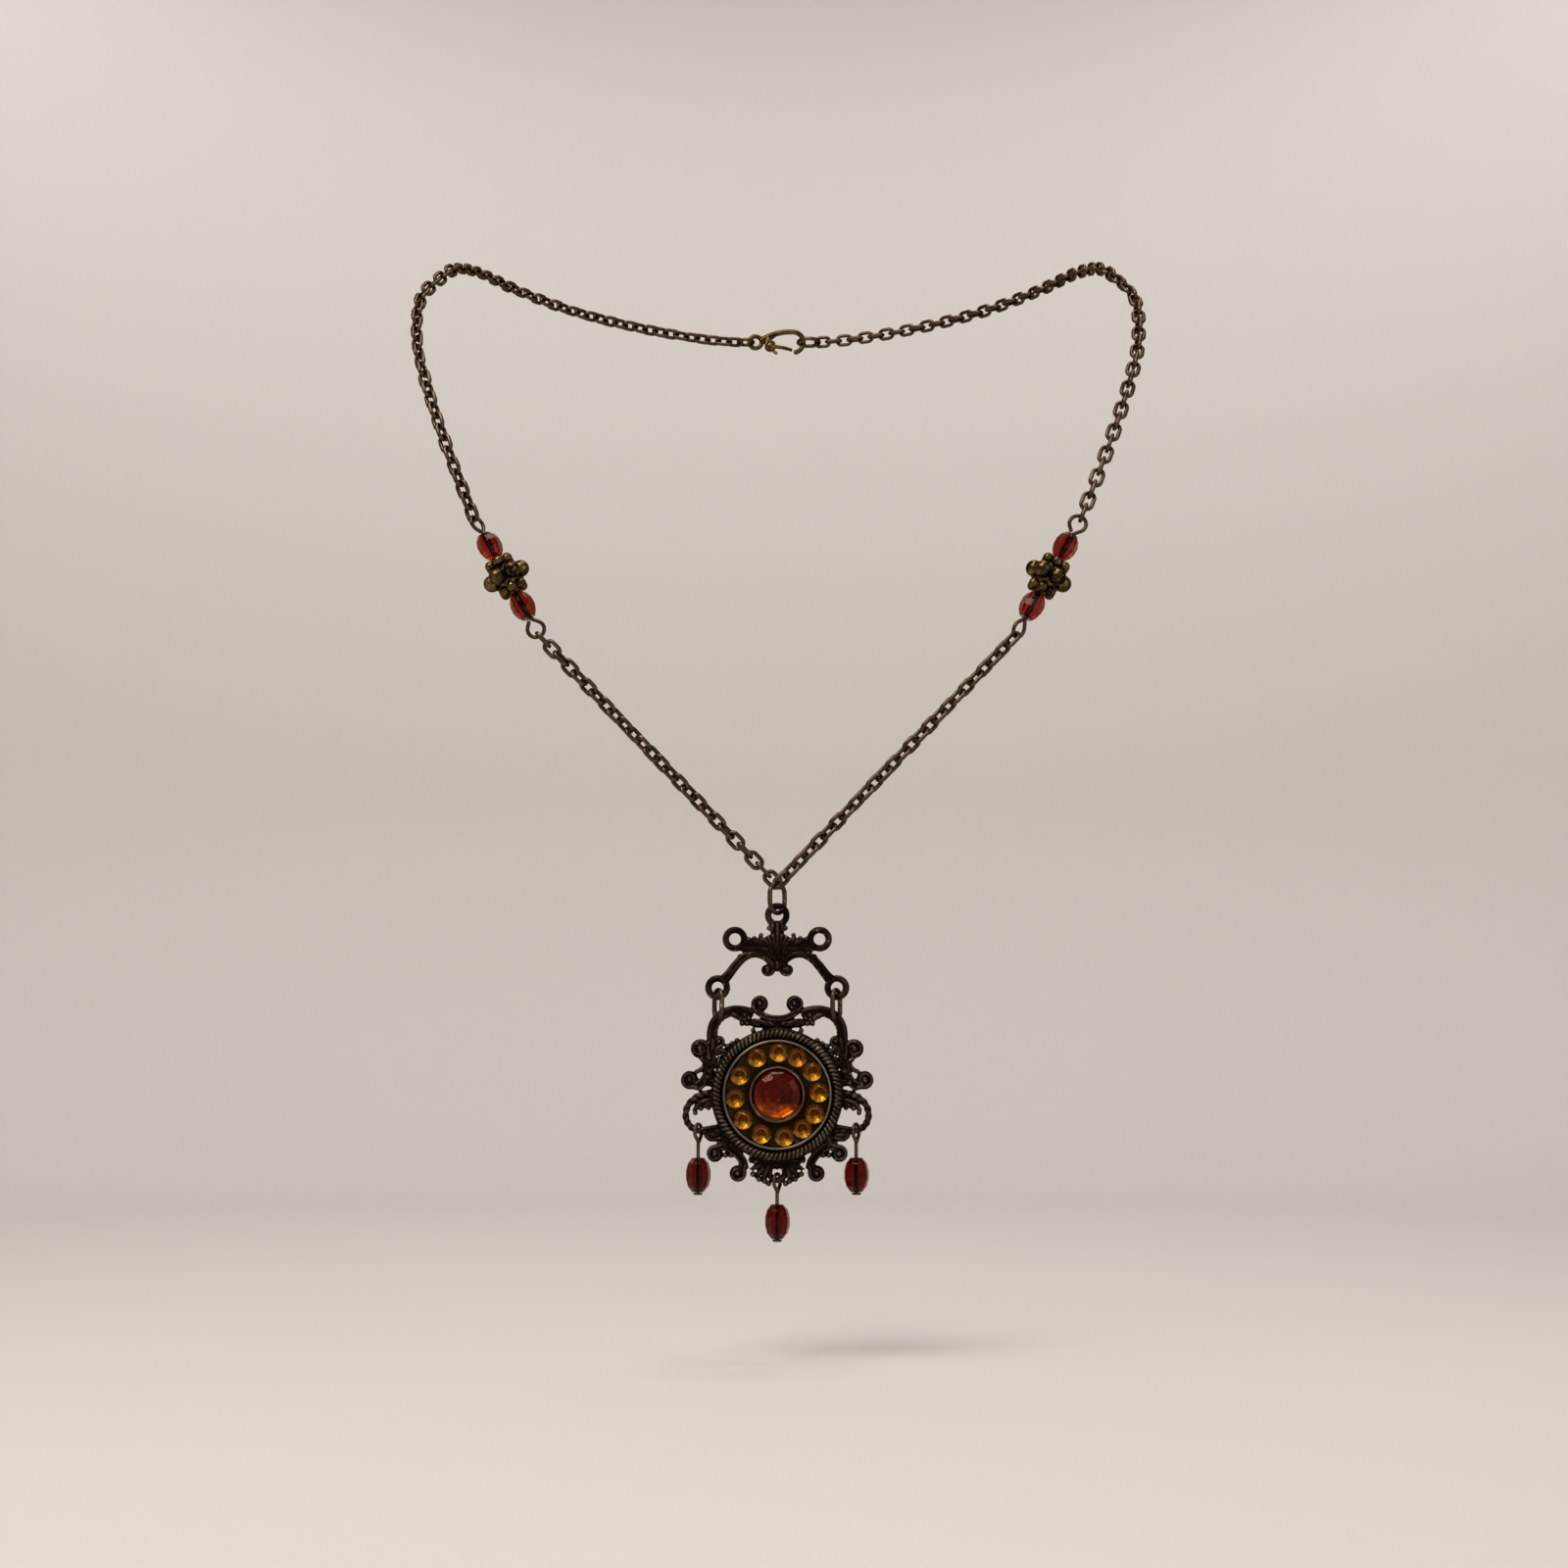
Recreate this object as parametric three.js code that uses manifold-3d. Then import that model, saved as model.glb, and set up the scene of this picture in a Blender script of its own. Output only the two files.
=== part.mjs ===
// Pendant necklace in antiqued bronze with garnet-red and amber stones.
// Millimetres, +Z up, +X to the viewer's right, the pendant's face looks along -Y.
// The origin is the middle of the neck loop, level with the tops of the shoulders.
// Everything from the beaded stations down hangs in one upright plane.

import * as THREE from 'three';
import { mergeVertices } from 'three/addons/utils/BufferGeometryUtils.js';
import Module from 'manifold-3d';

const wasm = await Module();
wasm.setup();

// ---- driving dimensions ----

const FRONT_Y = -38; // the upright plane in which the front hangs
const STONE_Z = -152; // height of the centre stone's middle
const CLEARANCE = 0.1; // between pieces that touch

const CHAIN_WIDTH = 2.5; // across one oval link
const CHAIN_SIDES = 8;
const LINK_REACH = 0.8; // from a chain run's end to the ring or eye that its last link holds

const STATION_TOP = new THREE.Vector3(51.3, FRONT_Y, -55.7);
const STATION_FOOT = new THREE.Vector3(39.7, FRONT_Y, -76.3);
const JUNCTION = new THREE.Vector3(0, FRONT_Y, STONE_Z + 34.3);
const JUNCTION_REACH = 2; // room for the pendant ring between the two front chains

const WIRE_SIDES = 6; // faces round a wire
const PIN_WIRE = 0.35; // wire radius of the stations' eye pins
const PIN_EYE = 1.5; // eye radius, to the middle of the wire
// how far each pin's upper and lower eye is turned out of the upright plane, in radians
const PIN_EYE_TURNS = { left: [1, 0], right: [0, 0.9] };
const RED_BEAD = { radius: 2.05, end: 1.25, length: 4.6, facets: 10 };
// the spacer: large grains round its middle and a ring of small ones at each end, on a turned core
const SPACER = { length: 7, core: 2.4, end: 1.3, facets: 14 };
const LARGE_GRAIN = { radius: 1.4, ring: 2.75 };
const SMALL_GRAIN = { radius: 0.85, ring: 1.75, height: 2.55 };
const GRAINS = 6; // in each ring
const FIRST_BEAD = 3.6; // from the station's top to its first bead
const BORE = PIN_WIRE + CLEARANCE;

const RING_WIRE = 0.4; // wire radius of the pendant and connector rings
const PENDANT_RING = { halfWidth: 1.85, halfHeight: 2.47, z: 31.83, yaw: 0.87 };
const CONNECTOR_RING = { halfWidth: 1.3, halfHeight: 2.3, x: 9.6, z: 14.51, yaw: 0.5 };

const CROWN_LOOP = { radius: 1.5, wire: 0.54 };
const CROWN_LOOPS = [[0, 29], [-6.9, 25.1], [6.9, 25.1], [-9.7, 17.2], [9.7, 17.2]];
const CROWN_THICKNESS = 1.3;

const DISC_RADIUS = 10.6;
const DISC_THICKNESS = 1.5;
const BAR = 0.5; // radius of the thin filigree bars
const BAR_SIDES = 6;
const WEB_THICKNESS = 1;
const VOLUTE_THICKNESS = 1.2;

const ROPE = { ring: 9.65, radius: 0.8 };
const TRAY = { radius: 8.75, wall: 0.3, floor: 0.5, height: 1.45 };
const BEZEL = { inner: 4.2, outer: 4.6, height: 1.6 };
const CENTRE_STONE = { foot: 3.3, girdle: 4.1, table: 2.6, height: 2.45, facets: 16 };
const AMBER_STONE = { foot: 1.05, girdle: 1.49, table: 0.85, height: 1.3, facets: 10 };
const AMBER_RING = 6.75;
// the amber stones are glued in by hand, so they aren't evenly spaced (degrees)
const AMBER_TURNS = [3, 33, 61.5, 88, 119, 153, 185, 216, 248, 280, 307, 333];

const DROP_WIRE = 0.3; // wire radius of the drops' headpins
const DROP_EYE = { halfWidth: 1.2, yaw: 0.45 };
const PIN_HEAD = { radius: 0.75, height: 0.35 };
const DROP_BEAD = { radius: 2.05, end: 1.2, length: 5.4, facets: 10 };
const DROP_HANG = DROP_WIRE + BAR + 0.2; // the eye's top above the bar that it hangs on
// the bar that each drop hangs on, and the eye's length
const DROPS = {
  left: { x: -12.7, z: -5.7, eye: 4.9 },
  right: { x: 12.7, z: -5.7, eye: 4.9 },
  centre: { x: 0, z: -13.55, eye: 4.4 },
};

const CLASP = new THREE.Vector3(-4.9, 38, 4.4); // the clasp's tail eye, at the nape
const CLASP_WIRE = 0.6;
const CLASP_TAIL = { radius: 1.3, wire: 0.5 };
const CLASP_HOOK = { x: 7.8, radius: 2.3 };
const CLASP_PIVOT = { x: 3.1, z: -0.9 };
const CLASP_EAR = 1.9; // the body's thickness at the pivot
const LEVER_THICKNESS = 0.9;
const LEVER_KNUCKLE = 0.75; // radius round the rivet
const RIVET_RADIUS = 0.35;
const RIVET_PLAY = 0.06;
const CLASP_RING = { radius: 1.6, wire: 0.35, x: -2.05 };
const END_RING = { radius: 2.2, wire: 0.4, x: 11.2 };

// the right half of the chain, from the station up over the shoulder to the nape
const NECK_ROUTE = [
  [51.3, -38, -55.7], [56.4, -36.5, -42.8], [60.8, -33.5, -30.3], [63.2, -29.5, -21.7],
  [63.9, -23.5, -11.1], [61.2, -17.5, -4.4], [59.7, -13.5, -1.3], [57, -3, 2.5],
  [51, 11, 4.5], [41, 23, 5], [28, 32, 5], [15, 37, 4.6], [8.5, 38, 4.4],
];

// ---- materials ----

const bronze = { color: 0x2b241d, roughness: 0.42, metalness: 1 };
const darkWire = { color: 0x1d1815, roughness: 0.35, metalness: 1 };
const brass = { color: 0x5a4a2c, roughness: 0.45, metalness: 1 };
const garnet = { color: 0x9c1c10, roughness: 0.08, metalness: 0 };
const amber = { color: 0xb97812, roughness: 0.1, metalness: 0 };
const darkRed = { color: 0x5a1208, roughness: 0.06, metalness: 0 };

// ---- geometry helpers ----

function circleShape(radius, sides) {
  const shape = new THREE.Shape();
  for (let i = 0; i < sides; i += 1) {
    const turn = (i / sides) * 2 * Math.PI;
    const x = radius * Math.cos(turn);
    const y = radius * Math.sin(turn);
    if (i === 0) shape.moveTo(x, y);
    else shape.lineTo(x, y);
  }
  shape.closePath();
  return shape;
}

function tube(curve, radius, steps, sides) {
  const settings = { steps, extrudePath: curve, bevelEnabled: false };
  return new THREE.ExtrudeGeometry(circleShape(radius, sides), settings);
}

function vector([x, z]) {
  return new THREE.Vector3(x, 0, z);
}

// a bar through points in the upright plane
function bar(points, radius, steps = 2 * (points.length - 1)) {
  const curve = points.length === 2
    ? new THREE.LineCurve3(vector(points[0]), vector(points[1]))
    : new THREE.CatmullRomCurve3(points.map(vector));
  return tube(curve, radius, points.length === 2 ? 1 : steps, BAR_SIDES);
}

// a ring that stands in the upright plane and faces the viewer
function roundRing(radius, wire, steps = 16) {
  return new THREE.TorusGeometry(radius, wire, WIRE_SIDES, steps).rotateX(Math.PI / 2);
}

// a ring drawn out in height, with straight sides
function longRing(halfWidth, halfHeight, wire, steps = 16) {
  const geometry = new THREE.TorusGeometry(halfWidth, wire, WIRE_SIDES, steps);
  geometry.rotateZ(Math.PI / steps);
  geometry.rotateX(Math.PI / 2);
  const position = geometry.attributes.position;
  for (let i = 0; i < position.count; i += 1) {
    const z = position.getZ(i);
    position.setZ(i, z + Math.sign(z) * (halfHeight - halfWidth));
  }
  return geometry;
}

// a round rod along Z
function rod(radius, length, z, sides) {
  return new THREE.CylinderGeometry(radius, radius, length, sides).rotateX(Math.PI / 2).translate(0, 0, z);
}

// a disc whose flat faces look along Y
function disc(x, z, radius, thickness, sides = 20) {
  return new THREE.CylinderGeometry(radius, radius, thickness, sides).translate(x, 0, z);
}

function block(x, z, width, height, thickness) {
  return new THREE.BoxGeometry(width, thickness, height).translate(x, 0, z);
}

// a turned piece whose profile is [radius, distance along the axis]
function turned(profile, facets) {
  return new THREE.LatheGeometry(profile.map(([r, h]) => new THREE.Vector2(r, h)), facets);
}

function toSolid(geometry) {
  const bare = geometry.clone();
  bare.deleteAttribute('normal');
  bare.deleteAttribute('uv');
  const merged = mergeVertices(bare, 1e-5);
  return new wasm.Manifold(new wasm.Mesh({
    numProp: 3,
    vertProperties: Float32Array.from(merged.attributes.position.array),
    triVerts: Uint32Array.from(merged.index.array),
  }));
}

function toGeometry(solid) {
  const { vertProperties, triVerts } = solid.getMesh();
  const geometry = new THREE.BufferGeometry();
  geometry.setAttribute('position', new THREE.BufferAttribute(vertProperties, 3));
  geometry.setIndex(new THREE.BufferAttribute(triVerts, 1));
  const flat = geometry.toNonIndexed();
  flat.computeVertexNormals();
  return flat;
}

function joined(geometries) {
  return geometries.map(toSolid).reduce((whole, piece) => whole.add(piece));
}

function piece(name, geometry, material) {
  const mesh = new THREE.Mesh(geometry, new THREE.MeshStandardMaterial(material));
  mesh.name = name;
  return mesh;
}

// ---- chains ----

function chainRun(curve, startGap, endGap) {
  const length = curve.getLength();
  const steps = Math.ceil(length / (2.4 * CHAIN_WIDTH));
  const points = [];
  for (let i = 0; i <= steps; i += 1) {
    const along = startGap + (i / steps) * (length - startGap - endGap);
    points.push(curve.getPointAt(along / length));
  }
  return tube(new THREE.CatmullRomCurve3(points), CHAIN_WIDTH / 2, steps, CHAIN_SIDES);
}

function neckChain(name, side) {
  const points = NECK_ROUTE.map(([x, y, z]) => new THREE.Vector3(side * x, y, z));
  const wire = side < 0 ? CLASP_RING.wire : END_RING.wire;
  const run = chainRun(new THREE.CatmullRomCurve3(points), LINK_REACH, wire + 0.3);
  return piece(name, run, darkWire);
}

function frontChain(name, side) {
  const mirror = new THREE.Vector3(side, 1, 1);
  const line = new THREE.LineCurve3(STATION_FOOT.clone().multiply(mirror), JUNCTION);
  return piece(name, chainRun(line, LINK_REACH, JUNCTION_REACH), darkWire);
}

// ---- beads and their wires ----

// a bead bored along Z
function bead({ radius, end, length, facets }, bore) {
  const half = length / 2;
  const profile = [
    [bore, -half], [end, -half], [radius, -0.38 * half], [radius, 0.38 * half],
    [end, half], [bore, half], [bore, -half],
  ];
  return turned(profile, facets).rotateX(Math.PI / 2);
}

function grain({ radius, ring, height = 0 }, turn, sides) {
  const place = new THREE.Vector3(ring * Math.cos(turn), ring * Math.sin(turn), height);
  return new THREE.SphereGeometry(radius, sides, sides - 2).rotateX(Math.PI / 2).translate(...place);
}

function spacer() {
  const half = SPACER.length / 2;
  const profile = [
    [BORE, -half], [SPACER.end, -half], [SPACER.core, -0.4 * half], [SPACER.core, 0.4 * half],
    [SPACER.end, half], [BORE, half], [BORE, -half],
  ];
  const parts = [turned(profile, SPACER.facets).rotateX(Math.PI / 2)];
  for (let i = 0; i < GRAINS; i += 1) {
    const turn = (i / GRAINS) * 2 * Math.PI;
    const between = turn + Math.PI / GRAINS;
    parts.push(grain(LARGE_GRAIN, turn, 8));
    parts.push(grain(SMALL_GRAIN, between, 6));
    parts.push(grain({ ...SMALL_GRAIN, height: -SMALL_GRAIN.height }, between, 6));
  }
  return toGeometry(joined(parts));
}

function station(side, sideName) {
  const group = new THREE.Group();
  const length = STATION_TOP.distanceTo(STATION_FOOT);
  group.position.set(side * STATION_TOP.x, STATION_TOP.y, STATION_TOP.z);
  group.rotation.y = side * Math.atan2(STATION_TOP.x - STATION_FOOT.x, STATION_TOP.z - STATION_FOOT.z);
  const [upperTurn, lowerTurn] = PIN_EYE_TURNS[sideName];
  const pin = joined([
    roundRing(PIN_EYE, PIN_WIRE).rotateZ(upperTurn).translate(0, 0, -PIN_EYE),
    rod(PIN_WIRE, length - 4 * PIN_EYE, -length / 2, 10),
    roundRing(PIN_EYE, PIN_WIRE).rotateZ(lowerTurn).translate(0, 0, PIN_EYE - length),
  ]);
  group.add(piece(`station_pin_${sideName}`, toGeometry(pin), darkWire));
  let top = -FIRST_BEAD;
  const beads = [
    ['upper_bead', RED_BEAD.length, bead(RED_BEAD, BORE), garnet],
    ['spacer', SPACER.length, spacer(), brass],
    ['lower_bead', RED_BEAD.length, bead(RED_BEAD, BORE), garnet],
  ];
  for (const [name, beadLength, geometry, material] of beads) {
    const mesh = piece(`station_${sideName}_${name}`, geometry, material);
    mesh.position.z = top - beadLength / 2;
    group.add(mesh);
    top -= beadLength + CLEARANCE;
  }
  return group;
}

function drop(name, { x, z, eye }) {
  const group = new THREE.Group();
  group.position.set(x, 0, z + DROP_HANG);
  group.rotation.z = Math.PI / 2 - DROP_EYE.yaw;
  const beadTop = eye + DROP_WIRE + CLEARANCE;
  const beadFoot = beadTop + DROP_BEAD.length;
  const headTop = beadFoot + CLEARANCE;
  const shaftTop = eye - DROP_WIRE;
  const shaftFoot = headTop + PIN_HEAD.height / 2;
  const pin = joined([
    longRing(DROP_EYE.halfWidth, eye / 2, DROP_WIRE).translate(0, 0, -eye / 2),
    rod(DROP_WIRE, shaftFoot - shaftTop, -(shaftTop + shaftFoot) / 2, 8),
    rod(PIN_HEAD.radius, PIN_HEAD.height, -(headTop + PIN_HEAD.height / 2), 12),
  ]);
  group.add(piece(`headpin_${name}`, toGeometry(pin), darkWire));
  const mesh = piece(`drop_bead_${name}`, bead(DROP_BEAD, DROP_WIRE + CLEARANCE), garnet);
  mesh.position.z = -(beadTop + beadFoot) / 2;
  group.add(mesh);
  return group;
}

// ---- crown connector ----

function crown() {
  const parts = CROWN_LOOPS.map(([x, z]) => roundRing(CROWN_LOOP.radius, CROWN_LOOP.wire).translate(x, 0, z));
  const fan = new THREE.Shape();
  fan.moveTo(0, 20.6);
  fan.lineTo(2.3, 23.2);
  fan.lineTo(5.6, 23.3);
  fan.lineTo(5.9, 24.6);
  fan.lineTo(2.6, 25.9);
  fan.lineTo(1.3, 27.7);
  fan.lineTo(-1.3, 27.7);
  fan.lineTo(-2.6, 25.9);
  fan.lineTo(-5.9, 24.6);
  fan.lineTo(-5.6, 23.3);
  fan.lineTo(-2.3, 23.2);
  fan.closePath();
  const plate = new THREE.ExtrudeGeometry(fan, { depth: CROWN_THICKNESS, bevelEnabled: false });
  parts.push(plate.rotateX(Math.PI / 2).translate(0, CROWN_THICKNESS / 2, 0));
  for (const side of [-1, 1]) {
    const mirror = ([x, z]) => [side * x, z];
    const arch = [[1.1, 20.7], [2.1, 22.2], [3.9, 22.8], [5.8, 21.6], [7.5, 19.4], [8.6, 18.2]];
    parts.push(bar(arch.map(mirror), 0.75));
    parts.push(bar([[6.2, 21.2], [8.2, 18.6]].map(mirror), 0.95));
    parts.push(disc(side * 1.6, 20.2, 1.25, 1.7));
  }
  return toGeometry(joined(parts));
}

// ---- medallion ----

function medallionFrame() {
  const parts = [
    disc(0, 0, DISC_RADIUS, DISC_THICKNESS, 36),
    block(0, 11.1, 7.4, 2.6, WEB_THICKNESS),
    block(0, -10.7, 3.4, 1.6, WEB_THICKNESS),
    bar([[-3.6, 13.9], [-2.4, 12.8], [0, 12.3], [2.4, 12.8], [3.6, 13.9]], BAR),
    roundRing(1.25, BAR).translate(0, 0, -12.3),
  ];
  for (const side of [-1, 1]) {
    const mirror = ([x, z]) => [side * x, z];
    const bars = [
      // shoulder bow, which hangs on the connector ring
      [[[3.7, 13.3], [5.2, 13.8], [7.4, 13.95], [9.6, 13.6], [11, 12], [11.4, 9.6], [10.9, 7.4]], BAR],
      // inner band of the side scroll
      [[[11.6, 8.6], [10.9, 6.8], [11, 4.6], [11.9, 2.9], [13.4, 1.2]], 0.6],
      // side loop, which a drop hangs on
      [[
        [9.2, -0.7], [11.4, -0.6], [13.2, -1.2], [14.3, -2.8],
        [14, -4.7], [12.7, -5.7], [11, -5.8], [8.8, -5.9],
      ], BAR],
      // bottom scroll
      [[[10.9, -8.9], [9.4, -7.6], [7.2, -7.7], [5.6, -9.3], [5, -11.4]], BAR],
      // ties from the disc to the flower, the inner curl and the scrolls
      [[[2.9, 11.2], [5.3, 12.1]], 0.55],
      [[[7.6, 6.2], [10, 8.1]], 0.6],
      [[[8.8, 4.6], [11, 4.9]], 0.6],
      [[[7.8, -6.2], [9.6, -9.2]], 0.6],
    ];
    for (const [points, radius] of bars) parts.push(bar(points.map(mirror), radius));
    const lumps = [
      [2.65, 14.6, 1.45], // top volute
      [5.35, 12.1, 1.15], // flower
      [9.9, 8, 1.2], // inner curl
      [12.5, 7.2, 1.6], // upper side volute
      [14.1, 2.4, 1.6], // lower side volute
      [10, -6.9, 0.9], // foot of the side loop
      [9.7, -9.4, 1.4], // outer bottom volute
      [6.3, -12.4, 1.45], // inner bottom volute
      [2.05, -12.1, 1.2], // leaf
      [3.4, -11, 1.3], // leaf
    ];
    for (const [x, z, radius] of lumps) parts.push(disc(side * x, z, radius, VOLUTE_THICKNESS, 12));
  }
  return toGeometry(joined(parts));
}

// turned pieces of the setting: the profile's height is measured forward from the frame's front face
function setting(profile, facets) {
  return turned(profile, facets).rotateX(Math.PI).translate(0, -DISC_THICKNESS / 2 - CLEARANCE, 0);
}

function stoneProfile(stone, floor) {
  const { foot, girdle, table, height } = stone;
  const girdleHeight = floor + 0.42 * height;
  return [
    [0, floor], [foot, floor], [girdle, girdleHeight], [girdle, girdleHeight + 0.15],
    [table, floor + height], [0, floor + height],
  ];
}

function medallion() {
  const group = new THREE.Group();
  group.add(piece('medallion_frame', medallionFrame(), bronze));
  const rope = roundRing(ROPE.ring, ROPE.radius, 36);
  rope.translate(0, -DISC_THICKNESS / 2 - CLEARANCE - ROPE.radius, 0);
  group.add(piece('rope_border', rope, bronze));
  const rim = TRAY.radius - TRAY.wall;
  const tray = [
    [0, 0], [TRAY.radius, 0], [TRAY.radius, TRAY.height],
    [rim, TRAY.height], [rim, TRAY.floor], [0, TRAY.floor],
  ];
  group.add(piece('stone_tray', setting(tray, 48), bronze));
  const floor = TRAY.floor + CLEARANCE;
  const bezelTop = floor + BEZEL.height;
  const bezel = [
    [BEZEL.inner, floor], [BEZEL.outer, floor], [BEZEL.outer, bezelTop],
    [BEZEL.inner, bezelTop], [BEZEL.inner, floor],
  ];
  group.add(piece('centre_bezel', setting(bezel, 32), bronze));
  group.add(piece('centre_stone', setting(stoneProfile(CENTRE_STONE, floor), CENTRE_STONE.facets), darkRed));
  AMBER_TURNS.forEach((degrees, i) => {
    const turn = THREE.MathUtils.degToRad(degrees);
    const name = `amber_stone_${String(i + 1).padStart(2, '0')}`;
    const mesh = piece(name, setting(stoneProfile(AMBER_STONE, floor), AMBER_STONE.facets), amber);
    mesh.position.set(AMBER_RING * Math.cos(turn), 0, AMBER_RING * Math.sin(turn));
    group.add(mesh);
  });
  return group;
}

// ---- clasp at the nape ----

function clasp() {
  const group = new THREE.Group();
  group.position.copy(CLASP);
  for (const [name, { radius, wire, x }] of [['clasp_ring', CLASP_RING], ['end_ring', END_RING]]) {
    const ring = roundRing(radius, wire, 20).rotateX(Math.PI / 2).translate(x, 0, 0);
    group.add(piece(name, ring, darkWire));
  }

  const hook = [[1.2, 0.5], [4.4, 1.9], [CLASP_HOOK.x, CLASP_HOOK.radius]];
  for (const degrees of [60, 30, 0, -30, -60, -80]) {
    const turn = THREE.MathUtils.degToRad(degrees);
    hook.push([CLASP_HOOK.x + CLASP_HOOK.radius * Math.cos(turn), CLASP_HOOK.radius * Math.sin(turn)]);
  }
  const shell = joined([
    roundRing(CLASP_TAIL.radius, CLASP_TAIL.wire),
    bar(hook, CLASP_WIRE, 20),
    new THREE.BoxGeometry(2.6, CLASP_EAR, 3.2).translate(CLASP_PIVOT.x, 0, CLASP_PIVOT.z + 0.8),
  ]);
  const slot = new THREE.BoxGeometry(3, LEVER_THICKNESS + 2 * CLEARANCE, 2.6);
  slot.translate(CLASP_PIVOT.x + 0.2, 0, CLASP_PIVOT.z - 0.2);
  const bore = disc(CLASP_PIVOT.x, CLASP_PIVOT.z, RIVET_RADIUS + RIVET_PLAY, 2 * CLASP_EAR, 16);
  const body = shell.subtract(toSolid(slot)).subtract(toSolid(bore));
  group.add(piece('clasp_body', toGeometry(body), brass));

  const lever = joined([
    block(CLASP_PIVOT.x + 2.35, CLASP_PIVOT.z - 0.25, 5.4, 0.8, LEVER_THICKNESS),
    disc(CLASP_PIVOT.x, CLASP_PIVOT.z, LEVER_KNUCKLE, LEVER_THICKNESS - 0.02, 16),
    block(CLASP_PIVOT.x + 1.1, CLASP_PIVOT.z - 1.2, 0.9, 1.7, LEVER_THICKNESS - 0.04),
  ]);
  group.add(piece('clasp_lever', toGeometry(lever.subtract(toSolid(bore))), brass));

  const rivet = disc(CLASP_PIVOT.x, CLASP_PIVOT.z, RIVET_RADIUS, CLASP_EAR, 12);
  group.add(piece('clasp_rivet', rivet, brass));
  return group;
}

// ---- assembly ----

const necklace = new THREE.Group();
necklace.add(neckChain('neck_chain_left', -1), neckChain('neck_chain_right', 1), clasp());
necklace.add(station(-1, 'left'), station(1, 'right'));
necklace.add(frontChain('front_chain_left', -1), frontChain('front_chain_right', 1));

const pendant = new THREE.Group();
pendant.position.set(0, FRONT_Y, STONE_Z);
const gatheringRing = longRing(PENDANT_RING.halfWidth, PENDANT_RING.halfHeight, RING_WIRE);
const pendantRing = piece('pendant_ring', gatheringRing, darkWire);
pendantRing.position.z = PENDANT_RING.z;
pendantRing.rotation.z = PENDANT_RING.yaw;
pendant.add(pendantRing, piece('crown', crown(), bronze));
for (const [name, side] of [['left', -1], ['right', 1]]) {
  const { halfWidth, halfHeight, x, z, yaw } = CONNECTOR_RING;
  const ring = piece(`connector_ring_${name}`, longRing(halfWidth, halfHeight, RING_WIRE), darkWire);
  ring.position.set(side * x, 0, z);
  ring.rotation.z = side * (Math.PI / 2 - yaw);
  pendant.add(ring);
}
pendant.add(medallion());
for (const [name, place] of Object.entries(DROPS)) pendant.add(drop(name, place));
necklace.add(pendant);

export default necklace;
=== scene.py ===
"""Looks of the pendant necklace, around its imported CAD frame. Lengths are in millimetres, and each finished
mesh is scaled to metres in the frame's own axes."""

import math
import random

import bmesh
import bpy
from mathutils import Matrix, Vector


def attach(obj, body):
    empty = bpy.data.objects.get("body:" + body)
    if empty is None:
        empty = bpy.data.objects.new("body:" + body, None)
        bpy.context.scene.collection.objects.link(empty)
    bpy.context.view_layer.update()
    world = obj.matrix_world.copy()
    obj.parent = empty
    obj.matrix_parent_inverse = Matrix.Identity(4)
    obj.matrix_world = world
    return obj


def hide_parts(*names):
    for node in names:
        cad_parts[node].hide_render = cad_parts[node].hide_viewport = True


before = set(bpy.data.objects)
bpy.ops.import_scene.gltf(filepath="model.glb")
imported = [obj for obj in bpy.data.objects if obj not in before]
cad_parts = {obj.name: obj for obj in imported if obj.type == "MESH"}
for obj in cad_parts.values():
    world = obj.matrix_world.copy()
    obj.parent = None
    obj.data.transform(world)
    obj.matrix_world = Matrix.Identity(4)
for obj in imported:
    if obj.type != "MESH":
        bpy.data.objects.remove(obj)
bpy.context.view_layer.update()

MM = 0.001
at = Matrix.Translation
TO_FRONT = Matrix.Rotation(math.pi / 2, 4, "X")  # turns what faces up to face the viewer

# ---- places, as the CAD model has them ----

FRONT_Y = -38.0
# middle of the medallion; the pendant's own places are counted from it
STONE = Vector((0, FRONT_Y, -152.0))
STATION_TOP = Vector((51.3, FRONT_Y, -55.7))
STATION_FOOT = Vector((39.7, FRONT_Y, -76.3))
JUNCTION = STONE + Vector((0, 0, 34.3))
NECK_ROUTE = [
    (51.3, -38, -55.7), (56.4, -36.5, -42.8), (60.8, -33.5, -30.3), (63.2, -29.5, -21.7),
    (63.9, -23.5, -11.1), (61.2, -17.5, -4.4), (59.7, -13.5, -1.3), (57, -3, 2.5),
    (51, 11, 4.5), (41, 23, 5), (28, 32, 5), (15, 37, 4.6), (8.5, 38, 4.4),
]
CLASP = Vector((-4.9, 38, 4.4))
# (x, z) of each foot that a drop hangs on, and how far its bead hangs under its eye's top
DROPS = {"left": (-12.7, -5.7, 4.9), "right": (12.7, -5.7, 4.9), "centre": (0, -13.55, 4.4)}

# ---- chain ----

LINK_WIRE = 0.36
LINK_HALF_LENGTH = 1.5
LINK_HALF_WIDTH = 0.93
LINK_PITCH = 2.27
LINK_LOOSENESS = 0.12  # most that a link is turned out of its quarter turns, in radians
# how far beside the junction's middle each front chain holds the pendant ring
HOLD_OFFSET = 0.34
# the left front chain's twist, in degrees, and the share of its length where the twist ends
CHAIN_TWIST = 48
TWIST_END = 1 / 1.15
# seeds of the links' looseness in each pair of chains
NECK_SEED = 11
FRONT_SEED = 31

# ---- wires and beads ----

PIN_WIRE = 0.33
PIN_BORE = 0.46
PIN_EYE = 1.4
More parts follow.
